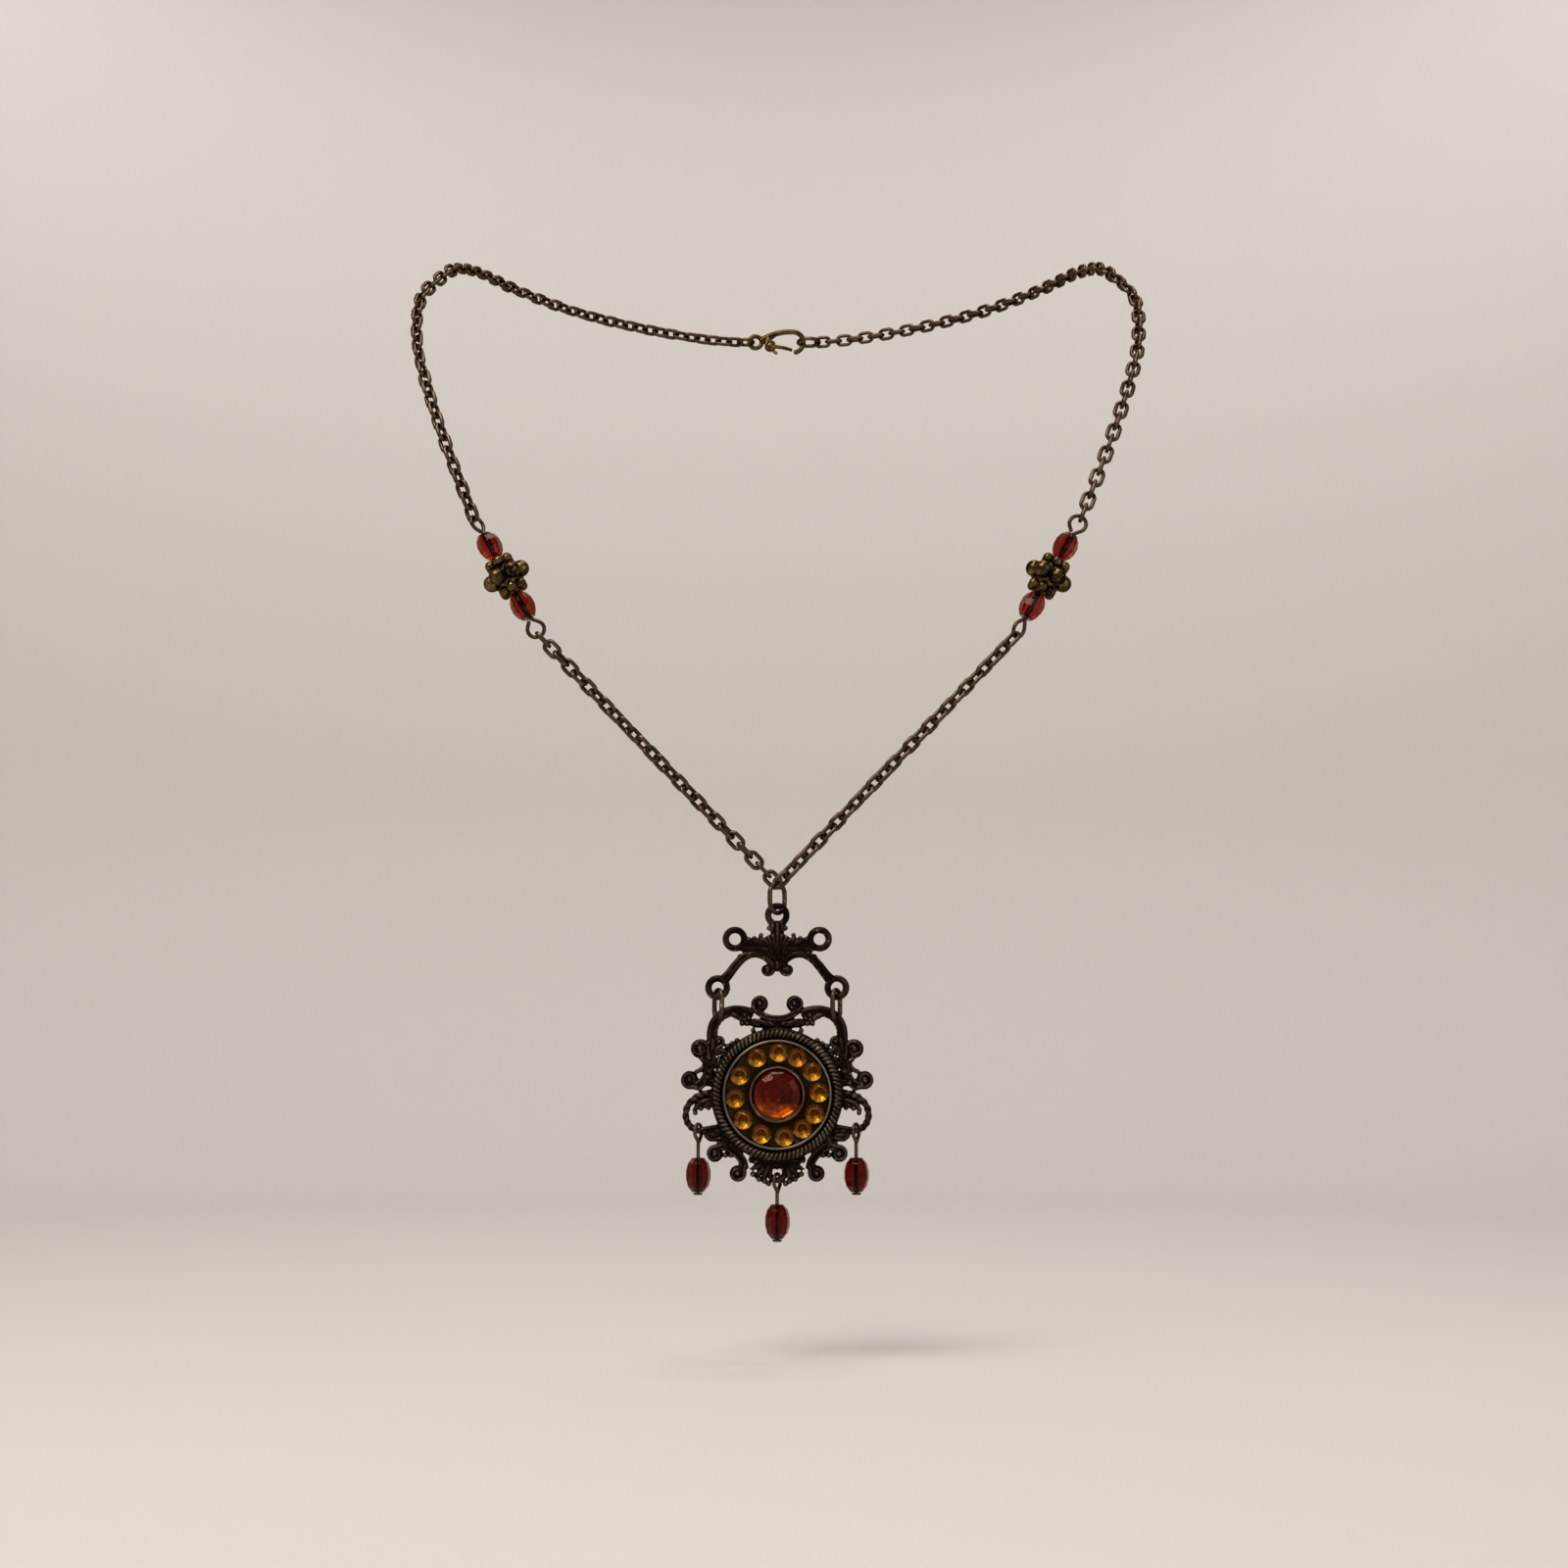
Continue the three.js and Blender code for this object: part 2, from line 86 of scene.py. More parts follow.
# how far each pin's upper and lower eye is turned out of the upright plane
PIN_EYE_TURNS = {"left": (1.0, 0.0), "right": (0.0, 0.9)}
FIRST_BEAD = 3.6
BEAD_GAP = 0.1
RED_BEAD_LENGTH = 4.6
BEAD_RADIUS = 2.05
BEAD_FACETS = 9
SPACER_LENGTH = 7.0
GRAINS = 6
# each grain's radius, the radius of the ring it sits on and the ring's height
LARGE_GRAIN = (1.44, 2.72, 0)
SMALL_GRAIN = (0.9, 1.82, 2.48)
DROP_WIRE = 0.3
DROP_EYE = 1.18
DROP_EYE_LENGTH = 3.1
DROP_TURN = math.pi / 2 - 0.45
EYE_REST = 0.7  # from the middle of the wire a drop hangs on to the inside of the drop's eye
DROP_BEAD_LENGTH = 5.4
DROP_BEAD_BORE = 0.42
RING_WIRE = 0.4
PENDANT_RING_TURN = 0.87
CONNECTOR_TURN = math.pi / 2 - 0.5
# x, radius and wire of the two round rings, from the clasp's tail
CLASP_RING = (-2.05, 1.6, 0.35)
END_RING = (11.2, 2.2, 0.4)

# ---- clasp, counted from the middle of its tail ----

CLASP_TAIL = 1.3
CLASP_PIVOT = Vector((3.1, 0, -0.9))
CHEEK_Y = 0.76

# ---- medallion setting ----

DISC_HALF = 0.75  # half the medallion frame's thickness
ROPE_CIRCLE = 9.75
ROPE = 0.72
TRAY_FLOOR = 0.6
GLUE = 0.05
CENTRE_CUT = {"girdle": 4.1, "table": 2.6, "top": 2.4, "share": 0.46, "culet": 0.7, "shelf": 2.4}
AMBER_CUT = {"girdle": 1.5, "table": 0.85, "top": 1.2, "share": 0.26, "culet": 0.34, "shelf": 0.9}
STONE_FACETS = 12
AMBER_CIRCLE = 6.75
# where the amber stones are glued round the tray, in degrees
AMBER_PLACES = [3, 33, 61.5, 88, 119, 153, 185, 216, 248, 280, 307, 333]


# ---- scene: camera, lights, floor ----

def in_scene(name, data):
    thing = bpy.data.objects.new(name, data)
    bpy.context.scene.collection.objects.link(thing)
    return thing


def place_camera():
    """The viewer stands 33 cm in front of the pendant, level with it, and looks a little up."""
    distance = 330.0
    aside = 1.1
    pitch = math.radians(8.74)
    data = bpy.data.cameras.new("camera")
    data.sensor_width = 36
    data.lens = 46.395
    data.clip_start = 0.01
    camera = in_scene("camera", data)
    camera.location = (STONE + Vector((aside, -distance, 0))) * MM
    camera.rotation_euler = (math.pi / 2 + pitch, 0, 0)
    bpy.context.scene.camera = camera


def area_light(name, place, target, size, watts, color=(1, 1, 1)):
    data = bpy.data.lights.new(name, "AREA")
    data.shape = "RECTANGLE"
    data.size, data.size_y = size
    data.energy = watts
    data.color = color
    light = in_scene(name, data)
    light.location = Vector(place) * MM
    aim = (Vector(target) - Vector(place)).normalized()
    light.rotation_euler = aim.to_track_quat("-Z", "Y").to_euler()


def place_lights():
    middle = (0, FRONT_Y, -110)
    area_light("key", (-200, -380, 330), middle, (0.34, 0.22), 2.6, (1, 0.94, 0.86))
    area_light("fill", (420, -420, 20), middle, (0.35, 0.35), 0.6, (0.93, 0.96, 1))
    area_light("top", (60, -60, 420), middle, (0.30, 0.20), 1.2, (1, 0.97, 0.92))
    area_light("backdrop", (0, 380, 420), (0, 680, 0), (1.2, 0.3), 1.7, (1, 0.98, 0.96))
    world = bpy.data.worlds.new("studio")
    world.use_nodes = True
    background = world.node_tree.nodes["Background"]
    background.inputs["Color"].default_value = (0.86, 0.86, 0.88, 1)
    background.inputs["Strength"].default_value = 0.3
    bpy.context.scene.world = world
    bpy.context.scene.view_settings.view_transform = "Standard"


def place_floor():
    """A pale round sweep: a floor a little under the lowest drop that turns up into a wall all round."""
    floor_z, wall_top, reach, bend = -195.0, 700.0, 718.0, 200.0
    sides, bend_steps = 96, 16
    profile = [(1.0, floor_z)]
    for i in range(bend_steps + 1):
        turn = math.radians(90 * i / bend_steps)
        profile.append((reach - bend + bend * math.sin(turn), floor_z + bend * (1 - math.cos(turn))))
    profile.append((reach, wall_top))
    vertices = []
    for radius, height in profile:
        for k in range(sides):
            angle = 2 * math.pi * k / sides
            vertices.append(Vector((radius * math.cos(angle), FRONT_Y + radius * math.sin(angle), height)))
    faces = [tuple(range(sides))]
    for level in range(len(profile) - 1):
        low, high = level * sides, (level + 1) * sides
        faces += [(low + (k + 1) % sides, low + k, high + k, high + (k + 1) % sides) for k in range(sides)]
    mesh = bpy.data.meshes.new("sweep")
    mesh.from_pydata([v * MM for v in vertices], [], faces)
    for face in mesh.polygons:
        face.use_smooth = True
    mesh.materials.append(Nodes("sweep").set(Base_Color=(0.60, 0.57, 0.54, 1), Roughness=0.9).material)
    in_scene("sweep", mesh)


# ---- materials ----

class Nodes:
    """Short names for building one material's node tree."""

    def __init__(self, name):
        self.material = bpy.data.materials.new(name)
        self.material.use_nodes = True
        self.tree = self.material.node_tree
        self.shader = self.tree.nodes["Principled BSDF"]

    def add(self, kind, **settings):
        node = self.tree.nodes.new(kind)
        for key, value in settings.items():
            setattr(node, key, value)
        return node

    def link(self, output, socket):
        self.tree.links.new(output, socket)

    def coordinates(self):
        return self.add("ShaderNodeTexCoord").outputs["Object"]

    def noise(self, scale, detail=4.0, roughness=0.55):
        node = self.add("ShaderNodeTexNoise")
        self.link(self.coordinates(), node.inputs["Vector"])
        node.inputs["Scale"].default_value = scale
        node.inputs["Detail"].default_value = detail
        node.inputs["Roughness"].default_value = roughness
        return node.outputs["Fac"]

    def ramp(self, value, stops):
        node = self.add("ShaderNodeValToRGB")
        self.link(value, node.inputs["Fac"])
        elements = node.color_ramp.elements
        while len(elements) < len(stops):
            elements.new(0.5)
        for element, (place, color) in zip(elements, stops):
            element.position = place
            element.color = (*color, 1)
        return node.outputs["Color"]

    def math(self, operation, first, second=None):
        node = self.add("ShaderNodeMath", operation=operation)
        for socket, value in zip(node.inputs, (first, second)):
            if value is None:
                continue
            if isinstance(value, (int, float)):
                socket.default_value = value
            else:
                self.link(value, socket)
        return node.outputs["Value"]

    def mix(self, factor, first, second):
        node = self.add("ShaderNodeMix", data_type="RGBA")
        for socket, value in ((node.inputs[0], factor), (node.inputs[6], first), (node.inputs[7], second)):
            if isinstance(value, tuple):
                socket.default_value = (*value, 1)
            else:
                self.link(value, socket)
        return node.outputs[2]

    def bump(self, height, strength, distance):
        node = self.add("ShaderNodeBump")
        self.link(height, node.inputs["Height"])
        node.inputs["Strength"].default_value = strength
        node.inputs["Distance"].default_value = distance
        self.link(node.outputs["Normal"], self.shader.inputs["Normal"])

    def set(self, **values):
        for key, value in values.items():
            self.shader.inputs[key.replace("_", " ")].default_value = value
        return self


def worn_metal(
    name, dark, worn, wear=(0.47, 0.6), grain=900.0, roughness=(0.3, 0.5), bump=0.25, patch=0.12, mottle=0.72,
):
    """Antiqued metal: dark patina in the hollows and rubbed metal on the edges, with fine casting grain. wear
    is where rubbing starts and ends, patch how unevenly it goes, and mottle how dull its clouds are."""
    n = Nodes(name)
    n.set(Metallic=1.0, Specular_Tint=(0.55, 0.45, 0.38, 1))
    edges = n.add("ShaderNodeNewGeometry").outputs["Pointiness"]
    patches = n.noise(260.0, detail=5.0, roughness=0.6)
    amount = n.math("ADD", edges, n.math("MULTIPLY", n.math("SUBTRACT", patches, 0.5), patch))
    rubbed = n.ramp(amount, [(wear[0], (0, 0, 0)), (wear[1], (1, 1, 1))])
    clouds = n.ramp(n.noise(420.0, detail=3.0), [(0.35, (0, 0, 0)), (0.65, (1, 1, 1))])
    tint = n.mix(clouds, worn, tuple(mottle * c for c in worn))
    n.link(n.mix(rubbed, dark, tint), n.shader.inputs["Base Color"])
    rough = n.ramp(n.noise(500.0), [(0.3, (roughness[0],) * 3), (0.7, (roughness[1],) * 3)])
    n.link(rough, n.shader.inputs["Roughness"])
    n.bump(n.noise(grain, detail=6.0, roughness=0.6), strength=bump, distance=0.06 * MM)
    return n.material


def glass(name, color, roughness=0.03, ior=1.54):
    """Coloured glass with faint swirls and a few fine scratches."""
    n = Nodes(name)
    n.set(IOR=ior, Transmission_Weight=1.0, Specular_Tint=(0.26, 0.17, 0.15, 1))
    shade = n.ramp(n.noise(150.0, detail=3.0), [(0.25, tuple(0.8 * c for c in color)), (0.75, color)])
    n.link(shade, n.shader.inputs["Base Color"])
    rough = n.ramp(n.noise(700.0, detail=5.0), [(0.35, (roughness,) * 3), (0.8, (roughness + 0.09,) * 3)])
    n.link(rough, n.shader.inputs["Roughness"])
    n.bump(n.noise(300.0, detail=3.0), strength=0.05, distance=0.03 * MM)
    return n.material


def foil(name, low, high, fade):
    """Coloured foil behind a stone, clouded and crinkled a little by the glue. Light is painted on it: a
    painted highlight towards its foot fades into painted shade towards its top.
    """
    n = Nodes(name)
    n.set(Metallic=0.7, Roughness=0.3)
    # painted light: by height, the colour runs from low, a painted highlight at the foot, to high, painted
    # shade at the top
    height = n.add("ShaderNodeSeparateXYZ")
    n.link(n.add("ShaderNodeTexCoord").outputs["Generated"], height.inputs["Vector"])
    cloud = n.math("MULTIPLY", n.math("SUBTRACT", n.noise(900.0, detail=3.0), 0.5), 0.35)
    place = n.math("ADD", height.outputs["Z"], cloud)
    n.link(n.ramp(place, [(fade[0], low), (fade[1], high)]), n.shader.inputs["Base Color"])
    n.bump(n.noise(1400.0), strength=0.3, distance=0.04 * MM)
    return n.material


def make_looks():
    """Each look: its material, and the name of a slot, which nothing uses."""
    return {
        "bronze": (worn_metal(
            "cast_bronze", (0.009, 0.0055, 0.004), (0.27, 0.20, 0.14), wear=(0.508, 0.65),
        ), "bronze"),
        "wire": (worn_metal(
            "dark_wire", (0.022, 0.0145, 0.0105), (0.18, 0.122, 0.083), wear=(0.48, 0.66), grain=1500.0,
            roughness=(0.22, 0.4), bump=0.1,
        ), "dark_wire"),
        "brass": (worn_metal(
            "antique_brass", (0.014, 0.010, 0.006), (0.25, 0.17, 0.065), wear=(0.485, 0.56), grain=1100.0,
            roughness=(0.22, 0.42), patch=0.2, mottle=0.4,
        ), "brass"),
        "rim": (worn_metal("rubbed_rim", (0.035, 0.03, 0.025), (0.24, 0.205, 0.16)), "bronze"),
        "recess": (worn_metal(
            "stained_recess", (0.026, 0.014, 0.006), (0.14, 0.075, 0.028), wear=(0.46, 0.6),
        ), "bronze"),
        "garnet": (glass("garnet_glass", (0.12, 0.005, 0.0024), ior=1.49), "garnet"),
        "station_garnet": (glass(
            "station_garnet_glass", (0.26, 0.015, 0.007), roughness=0.1, ior=1.49,
        ), "garnet"),
        "amber": (glass("amber_glass", (0.86, 0.55, 0.10)), "amber"),
        "deep_red": (glass("deep_red_glass", (0.72, 0.27, 0.07)), "centre_stone"),
        # each foil's first colour is a painted highlight at a stone's foot, and its second is painted shade
        # at its top
        "gold_foil_painted_light": (foil("gold_foil_painted_light", (1.0, 0.94, 0.7), (0.17, 0.08, 0.022), fade=(0.26, 0.46)), "amber"),
        "copper_foil_painted_light": (foil(
            "copper_foil_painted_light", (0.9, 1.0, 0.6), (0.19, 0.028, 0.005), fade=(0.23, 0.36),
        ), "centre_stone"),
    }


# ---- mesh helpers ----

def finish_piece(name, mesh, look, body, node, smooth=True):
    """Scales a finished mesh to metres, gives it its look and ties it to its body. It replaces the node."""
    material, slot = look
    mesh.transform(Matrix.Scale(MM, 4))
    for face in mesh.polygons:
        face.use_smooth = smooth
    mesh.materials.append(material)
    piece = in_scene(name, mesh)
    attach(piece, body)
    if node:
        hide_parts(node)
    return piece


def solid(vertices, faces):
    """A closed mesh whose faces look outwards."""
    mesh = bpy.data.meshes.new("piece")
    mesh.from_pydata([tuple(v) for v in vertices], [], faces)
    mesh.update()
    mesh.calc_loop_triangles()
    volume = 0.0
    for triangle in mesh.loop_triangles:
        a, b, c = (mesh.vertices[i].co for i in triangle.vertices)
        volume += a.dot(b.cross(c))
    if volume < 0:
        mesh.flip_normals()
    return mesh


def merged(meshes):
    """One mesh that holds several closed shells."""
    whole = bmesh.new()
    for mesh in meshes:
        whole.from_mesh(mesh)
        bpy.data.meshes.remove(mesh)
    result = bpy.data.meshes.new("piece")
    whole.to_mesh(result)
    whole.free()
    return result


def moved(mesh, matrix):
    """The mesh itself, moved, with its faces kept outwards."""
    mesh.transform(matrix)
    if matrix.determinant() < 0:
        mesh.flip_normals()
    return mesh


def frames_along(points, closed=False, start_normal=None):
    """Tangent and normal at each point, turned as little as possible from one to the next."""
    count = len(points)
    tangents = []
    for i in range(count):
        if closed:
            ahead, behind = points[(i + 1) % count], points[i - 1]
        else:
            ahead, behind = points[min(i + 1, count - 1)], points[max(i - 1, 0)]
        tangents.append((ahead - behind).normalized())
    normal = start_normal or Vector((0, 1, 0))
    frames = []
    for tangent in tangents:
        normal = (normal - tangent * normal.dot(tangent)).normalized()
        frames.append((tangent, normal.copy()))
    return frames


def sweep_tube(points, radius, sides=10, closed=False, flatten=1.0, start_normal=None, twist=None):
    """A closed tube along points. radius is a number or a function of the share of the way along, and
    flatten squeezes the section along the frame's normal. twist(share, angle) scales the section."""
    frames = frames_along(points, closed, start_normal)
    count = len(points)
    vertices, faces, sizes = [], [], []
    for i, (point, (tangent, normal)) in enumerate(zip(points, frames)):
        share = i / max(count - 1, 1)
        size = radius(share) if callable(radius) else radius
        sizes.append(size)
        side = tangent.cross(normal)
        for k in range(sides):
            angle = 2 * math.pi * k / sides
            reach = size * (twist(share, angle) if twist else 1)
            across = side * math.cos(angle) + normal * math.sin(angle) * flatten
            vertices.append(point + across * reach)
    rings = count if closed else count - 1
    for i in range(rings):
        for k in range(sides):
            a, b = i * sides + k, i * sides + (k + 1) % sides
            c, d = ((i + 1) % count) * sides + (k + 1) % sides, ((i + 1) % count) * sides + k
            faces.append((a, b, c, d))
    if not closed:
        for i, direction in ((0, -1), (count - 1, 1)):
            ring = list(range(i * sides, (i + 1) * sides))
            vertices.append(points[i] + frames[i][0] * direction * sizes[i] * 0.45)
            tip = len(vertices) - 1
            for k in range(sides):
                a, b = ring[k], ring[(k + 1) % sides]
                faces.append((b, a, tip) if direction < 0 else (a, b, tip))
    return solid(vertices, faces)


def ring_vertices(rings, sides):
    """Corners of rings round Z, each ring given as (radius, height)."""
    vertices = []
    for radius, height in rings:
        for k in range(sides):
            angle = 2 * math.pi * (k + 0.5) / sides
            vertices.append(Vector((radius * math.cos(angle), radius * math.sin(angle), height)))
    return vertices


def lathe(profile, sides, axis="Z"):
    """A turned solid. A profile of (radius, height) that starts or ends off the axis closes on itself."""
    vertices, faces, rings = [], [], []
    open_bore = profile[0][0] > 1e-6
    for radius, height in profile:
        if radius < 1e-6:
            rings.append([len(vertices)])
            vertices.append(Vector((0, 0, height)))
            continue
        rings.append(list(range(len(vertices), len(vertices) + sides)))
        vertices += ring_vertices([(radius, height)], sides)
    pairs = list(zip(rings, rings[1:]))
    if open_bore:
        pairs.append((rings[-1], rings[0]))
    for low, high in pairs:
        for k in range(sides):
            nxt = (k + 1) % sides
            if len(low) == 1:
                faces.append((low[0], high[nxt], high[k]))
            elif len(high) == 1:
                faces.append((low[k], low[nxt], high[0]))
            else:
                faces.append((low[k], low[nxt], high[nxt], high[k]))
    mesh = solid(vertices, faces)
    return moved(mesh, TO_FRONT) if axis == "-Y" else mesh


def ball(centre, radius, squash=(1, 1, 1), rings=10, sides=16):
    profile = [(0, -radius)]
    for i in range(1, rings):
        angle = math.pi * i / rings
        profile.append((radius * math.sin(angle), -radius * math.cos(angle)))
    profile.append((0, radius))
    mesh = lathe(profile, sides)
    mesh.transform(at(Vector(centre)) @ Matrix.Diagonal((*squash, 1)))
    return mesh


def bevelled(mesh, width, segments=2):
    """Rounds every edge of a mesh a little, as polishing does."""
    work = bmesh.new()
    work.from_mesh(mesh)
    bmesh.ops.bevel(
        work, geom=list(work.edges), offset=width, segments=segments, profile=0.6,
        affect="EDGES", clamp_overlap=True,
    )
    work.to_mesh(mesh)
    work.free()
    return mesh


def cast_together(mesh, voxel, smooth_steps=2):
    """Fuses overlapping shells into one skin with soft fillets, as a casting has."""
    holder = in_scene("casting_work", mesh)
    remesh = holder.modifiers.new("remesh", "REMESH")
    remesh.mode = "VOXEL"
    remesh.voxel_size = voxel
    smooth = holder.modifiers.new("smooth", "SMOOTH")
    smooth.factor = 0.5
    smooth.iterations = smooth_steps
    graph = bpy.context.evaluated_depsgraph_get()
    result = bpy.data.meshes.new_from_object(holder.evaluated_get(graph))
    bpy.data.objects.remove(holder)
    return result


def smooth_path(points, steps=8, closed=False):
    """A centripetal Catmull-Rom curve through points."""
    points = [Vector(p) for p in points]
    if closed:
        ends = (points[-1], *points, points[0], points[1])
    else:
        ends = (2 * points[0] - points[1], *points, 2 * points[-1] - points[-2])
    result = []
    for p0, p1, p2, p3 in zip(ends, ends[1:], ends[2:], ends[3:]):
        t1 = max((p1 - p0).length, 1e-6) ** 0.5
        t2 = t1 + max((p2 - p1).length, 1e-6) ** 0.5
        t3 = t2 + max((p3 - p2).length, 1e-6) ** 0.5
        for i in range(steps):
            t = t1 + (t2 - t1) * i / steps
            inner = (t - t1) / (t2 - t1)
            a1 = p0.lerp(p1, t / t1)
            a2 = p1.lerp(p2, inner)
            a3 = p2.lerp(p3, (t - t2) / (t3 - t2))
            b1 = a1.lerp(a2, t / t2)
            b2 = a2.lerp(a3, (t - t1) / (t3 - t1))
            result.append(b1.lerp(b2, inner))
    if not closed:
        result.append(points[-1])
    return result


def along(points, distance):
    """The point and direction at a distance along a polyline."""
    for a, b in zip(points, points[1:]):
        step = (b - a).length
        if distance <= step:
            return a.lerp(b, distance / step), (b - a).normalized()
        distance -= step
    return points[-1].copy(), (points[-1] - points[-2]).normalized()


def path_length(points):
    return sum((b - a).length for a, b in zip(points, points[1:]))


# ---- chain ----

def link_mesh(half_length, half_width, wire, sides=10, steps=28):
    """One oval link along Z, its width along X."""
    points = []
    straight = half_length - half_width
    for i in range(steps):
        angle = 2 * math.pi * (i + 0.5) / steps
        rise = half_width * math.sin(angle)
        points.append(Vector((half_width * math.cos(angle), 0, rise + math.copysign(straight, rise))))
    return sweep_tube(points, wire, sides, closed=True)


def chain_mesh(points, start, end, first_width, seed, odd, twist=None):
    """Interlocked links along a line. The first link's width lies along first_width, and each next link is
    turned a quarter. start and end are how far the end links' middles lie from the line's ends."""
    luck = random.Random(seed)
    span = path_length(points) - start - end
    gaps = round(span / LINK_PITCH)
    if gaps % 2 != (0 if odd else 1):
        gaps += 1 if span / LINK_PITCH > gaps else -1
    pitch = span / gaps
    width = Vector(first_width)
    links = []
    for i in range(gaps + 1):
        place, tangent = along(points, start + i * pitch)
        width = (width - tangent * width.dot(tangent)).normalized()
        inner = 0 < i < gaps
        share = i / gaps
        turn = math.pi / 2 if i % 2 else 0
        turn += luck.uniform(-LINK_LOOSENESS, LINK_LOOSENESS) if inner else 0
        turn += twist(share) if twist else 0
        x_axis = Matrix.Rotation(turn, 3, tangent) @ width
        y_axis = tangent.cross(x_axis)
        basis = Matrix((x_axis, y_axis, tangent)).transposed().to_4x4()
        link = link_mesh(LINK_HALF_LENGTH, LINK_HALF_WIDTH, LINK_WIRE)
        links.append(moved(link, at(place) @ basis))
    return merged(links)


def eye_normal(turn):
    """The way through an eye, along which the first link's width lies."""
    return Vector((-math.sin(turn), math.cos(turn), 0))


def left_chain_twist(share):
    """The left front chain winds up over its length and hangs straight again before the pendant ring."""
    if share >= TWIST_END:
        return 0
    return math.radians(CHAIN_TWIST) * math.sin(math.pi * share / TWIST_END) ** 0.5


def make_chains(looks):
    reach = LINK_HALF_LENGTH - LINK_WIRE
    sides = (("left", -1, CLASP_RING, left_chain_twist), ("right", 1, END_RING, None))
    for name, side, (_, _, ring_wire), twist in sides:
        upper_turn, lower_turn = PIN_EYE_TURNS[name]
        route = smooth_path([(side * x, y, z) for x, y, z in NECK_ROUTE], 8)
        mesh = chain_mesh(
            route, reach - PIN_WIRE, reach - ring_wire, eye_normal(upper_turn), NECK_SEED + side, odd=True,
        )
        node = f"neck_chain_{name}"
        finish_piece(f"{node}_links", mesh, looks["wire"], "neck_chain", node)

        foot = Matrix.Diagonal((side, 1, 1)) @ STATION_FOOT
        across = Vector((math.cos(PENDANT_RING_TURN), math.sin(PENDANT_RING_TURN), 0))
        hold = JUNCTION + side * HOLD_OFFSET * across
        line = [foot.lerp(hold, i / 40) for i in range(41)]
        mesh = chain_mesh(
            line, reach - PIN_WIRE, reach - RING_WIRE, eye_normal(lower_turn), FRONT_SEED + side, odd=False,
            twist=twist,
        )
        node = f"front_chain_{name}"
        finish_piece(f"{node}_links", mesh, looks["wire"], "front_chains", node)


# ---- beads, pins and drops ----

def station_matrix(side):
    """From a station's own axes, hanging down its Z from its top, to the frame."""
    lean = math.atan2(STATION_TOP.x - STATION_FOOT.x, STATION_TOP.z - STATION_FOOT.z)
    top = Matrix.Diagonal((side, 1, 1)) @ STATION_TOP
    return at(top) @ Matrix.Rotation(side * lean, 4, "Y")


def teardrop(top, neck, radius, wire, turn=0.0):
    """Points of a wire eye: from its neck straight out to a round end, and straight back until the wire's
    cut end rests against the neck."""
    flip = 1 if top > neck else -1
    centre = top - flip * radius
    spread = math.asin(radius / abs(centre - neck))
    points = [Vector((0, 0, neck))]
    for i in range(21):
        angle = -spread + (math.pi + 2 * spread) * i / 20
        points.append(Vector((radius * math.cos(angle), 0, centre + flip * radius * math.sin(angle))))
    last = 1.6 * wire / math.sin(2 * spread)
    points.append(Vector((-last * math.sin(spread), -0.4 * wire, neck + flip * last * math.cos(spread))))
    return [Matrix.Rotation(turn, 3, "Z") @ point for point in points]


def station_pin_mesh(length, upper_turn, lower_turn):
    """An eye pin: one wire bent into an eye at each end."""
    upper_neck = 0.1 - FIRST_BEAD
    lower_neck = -length - upper_neck
    upper = smooth_path(teardrop(0, upper_neck, PIN_EYE, PIN_WIRE, upper_turn), 3)
    lower = smooth_path(teardrop(-length, lower_neck, PIN_EYE, PIN_WIRE, lower_turn), 3)
    line = [*reversed(upper), Vector((0, 0, -length / 2)), *lower]
    return sweep_tube(line, PIN_WIRE, 12)


def faceted_bead_mesh(length, end, bore, belt):
    """A fire-polished bead: flat facets in a belt and two shoulders, with edges softened by polishing."""
    half, radius = length / 2, BEAD_RADIUS
    upper = [
        (radius, belt * half), (0.84 * radius, 0.68 * half), (end, half),
        (bore + 0.15, half), (bore, half - 0.1),
    ]
    lower = [(reach, -height) for reach, height in reversed(upper)]
    return bevelled(lathe(lower + upper, BEAD_FACETS), 0.05, 1)


def grain(size, turn, end, **fineness):
    radius, ring, height = size
    return ball((ring * math.cos(turn), ring * math.sin(turn), end * height), radius, **fineness)


def spacer_mesh():
    """A granulated spacer: large grains round the middle and a ring of small ones at each end, soldered to a
    turned core, so a soft fillet runs round every grain."""
    half = SPACER_LENGTH / 2
    core = lathe([
        (0.46, -half), (0.95, -half), (1.2, 0.2 - half), (1.4, -0.62 * half), (2.1, 0), (1.4, 0.62 * half),
        (1.2, half - 0.2), (0.95, half), (0.46, half),
    ], 28)
    shells = [core]
    for i in range(GRAINS):
        turn = 2 * math.pi * i / GRAINS
        shells.append(grain(LARGE_GRAIN, turn, 1, rings=16, sides=24))
        for end in (-1, 1):
            shells.append(grain(SMALL_GRAIN, turn + math.pi / GRAINS, end, rings=12, sides=18))
    return cast_together(merged(shells), 0.09, smooth_steps=3)


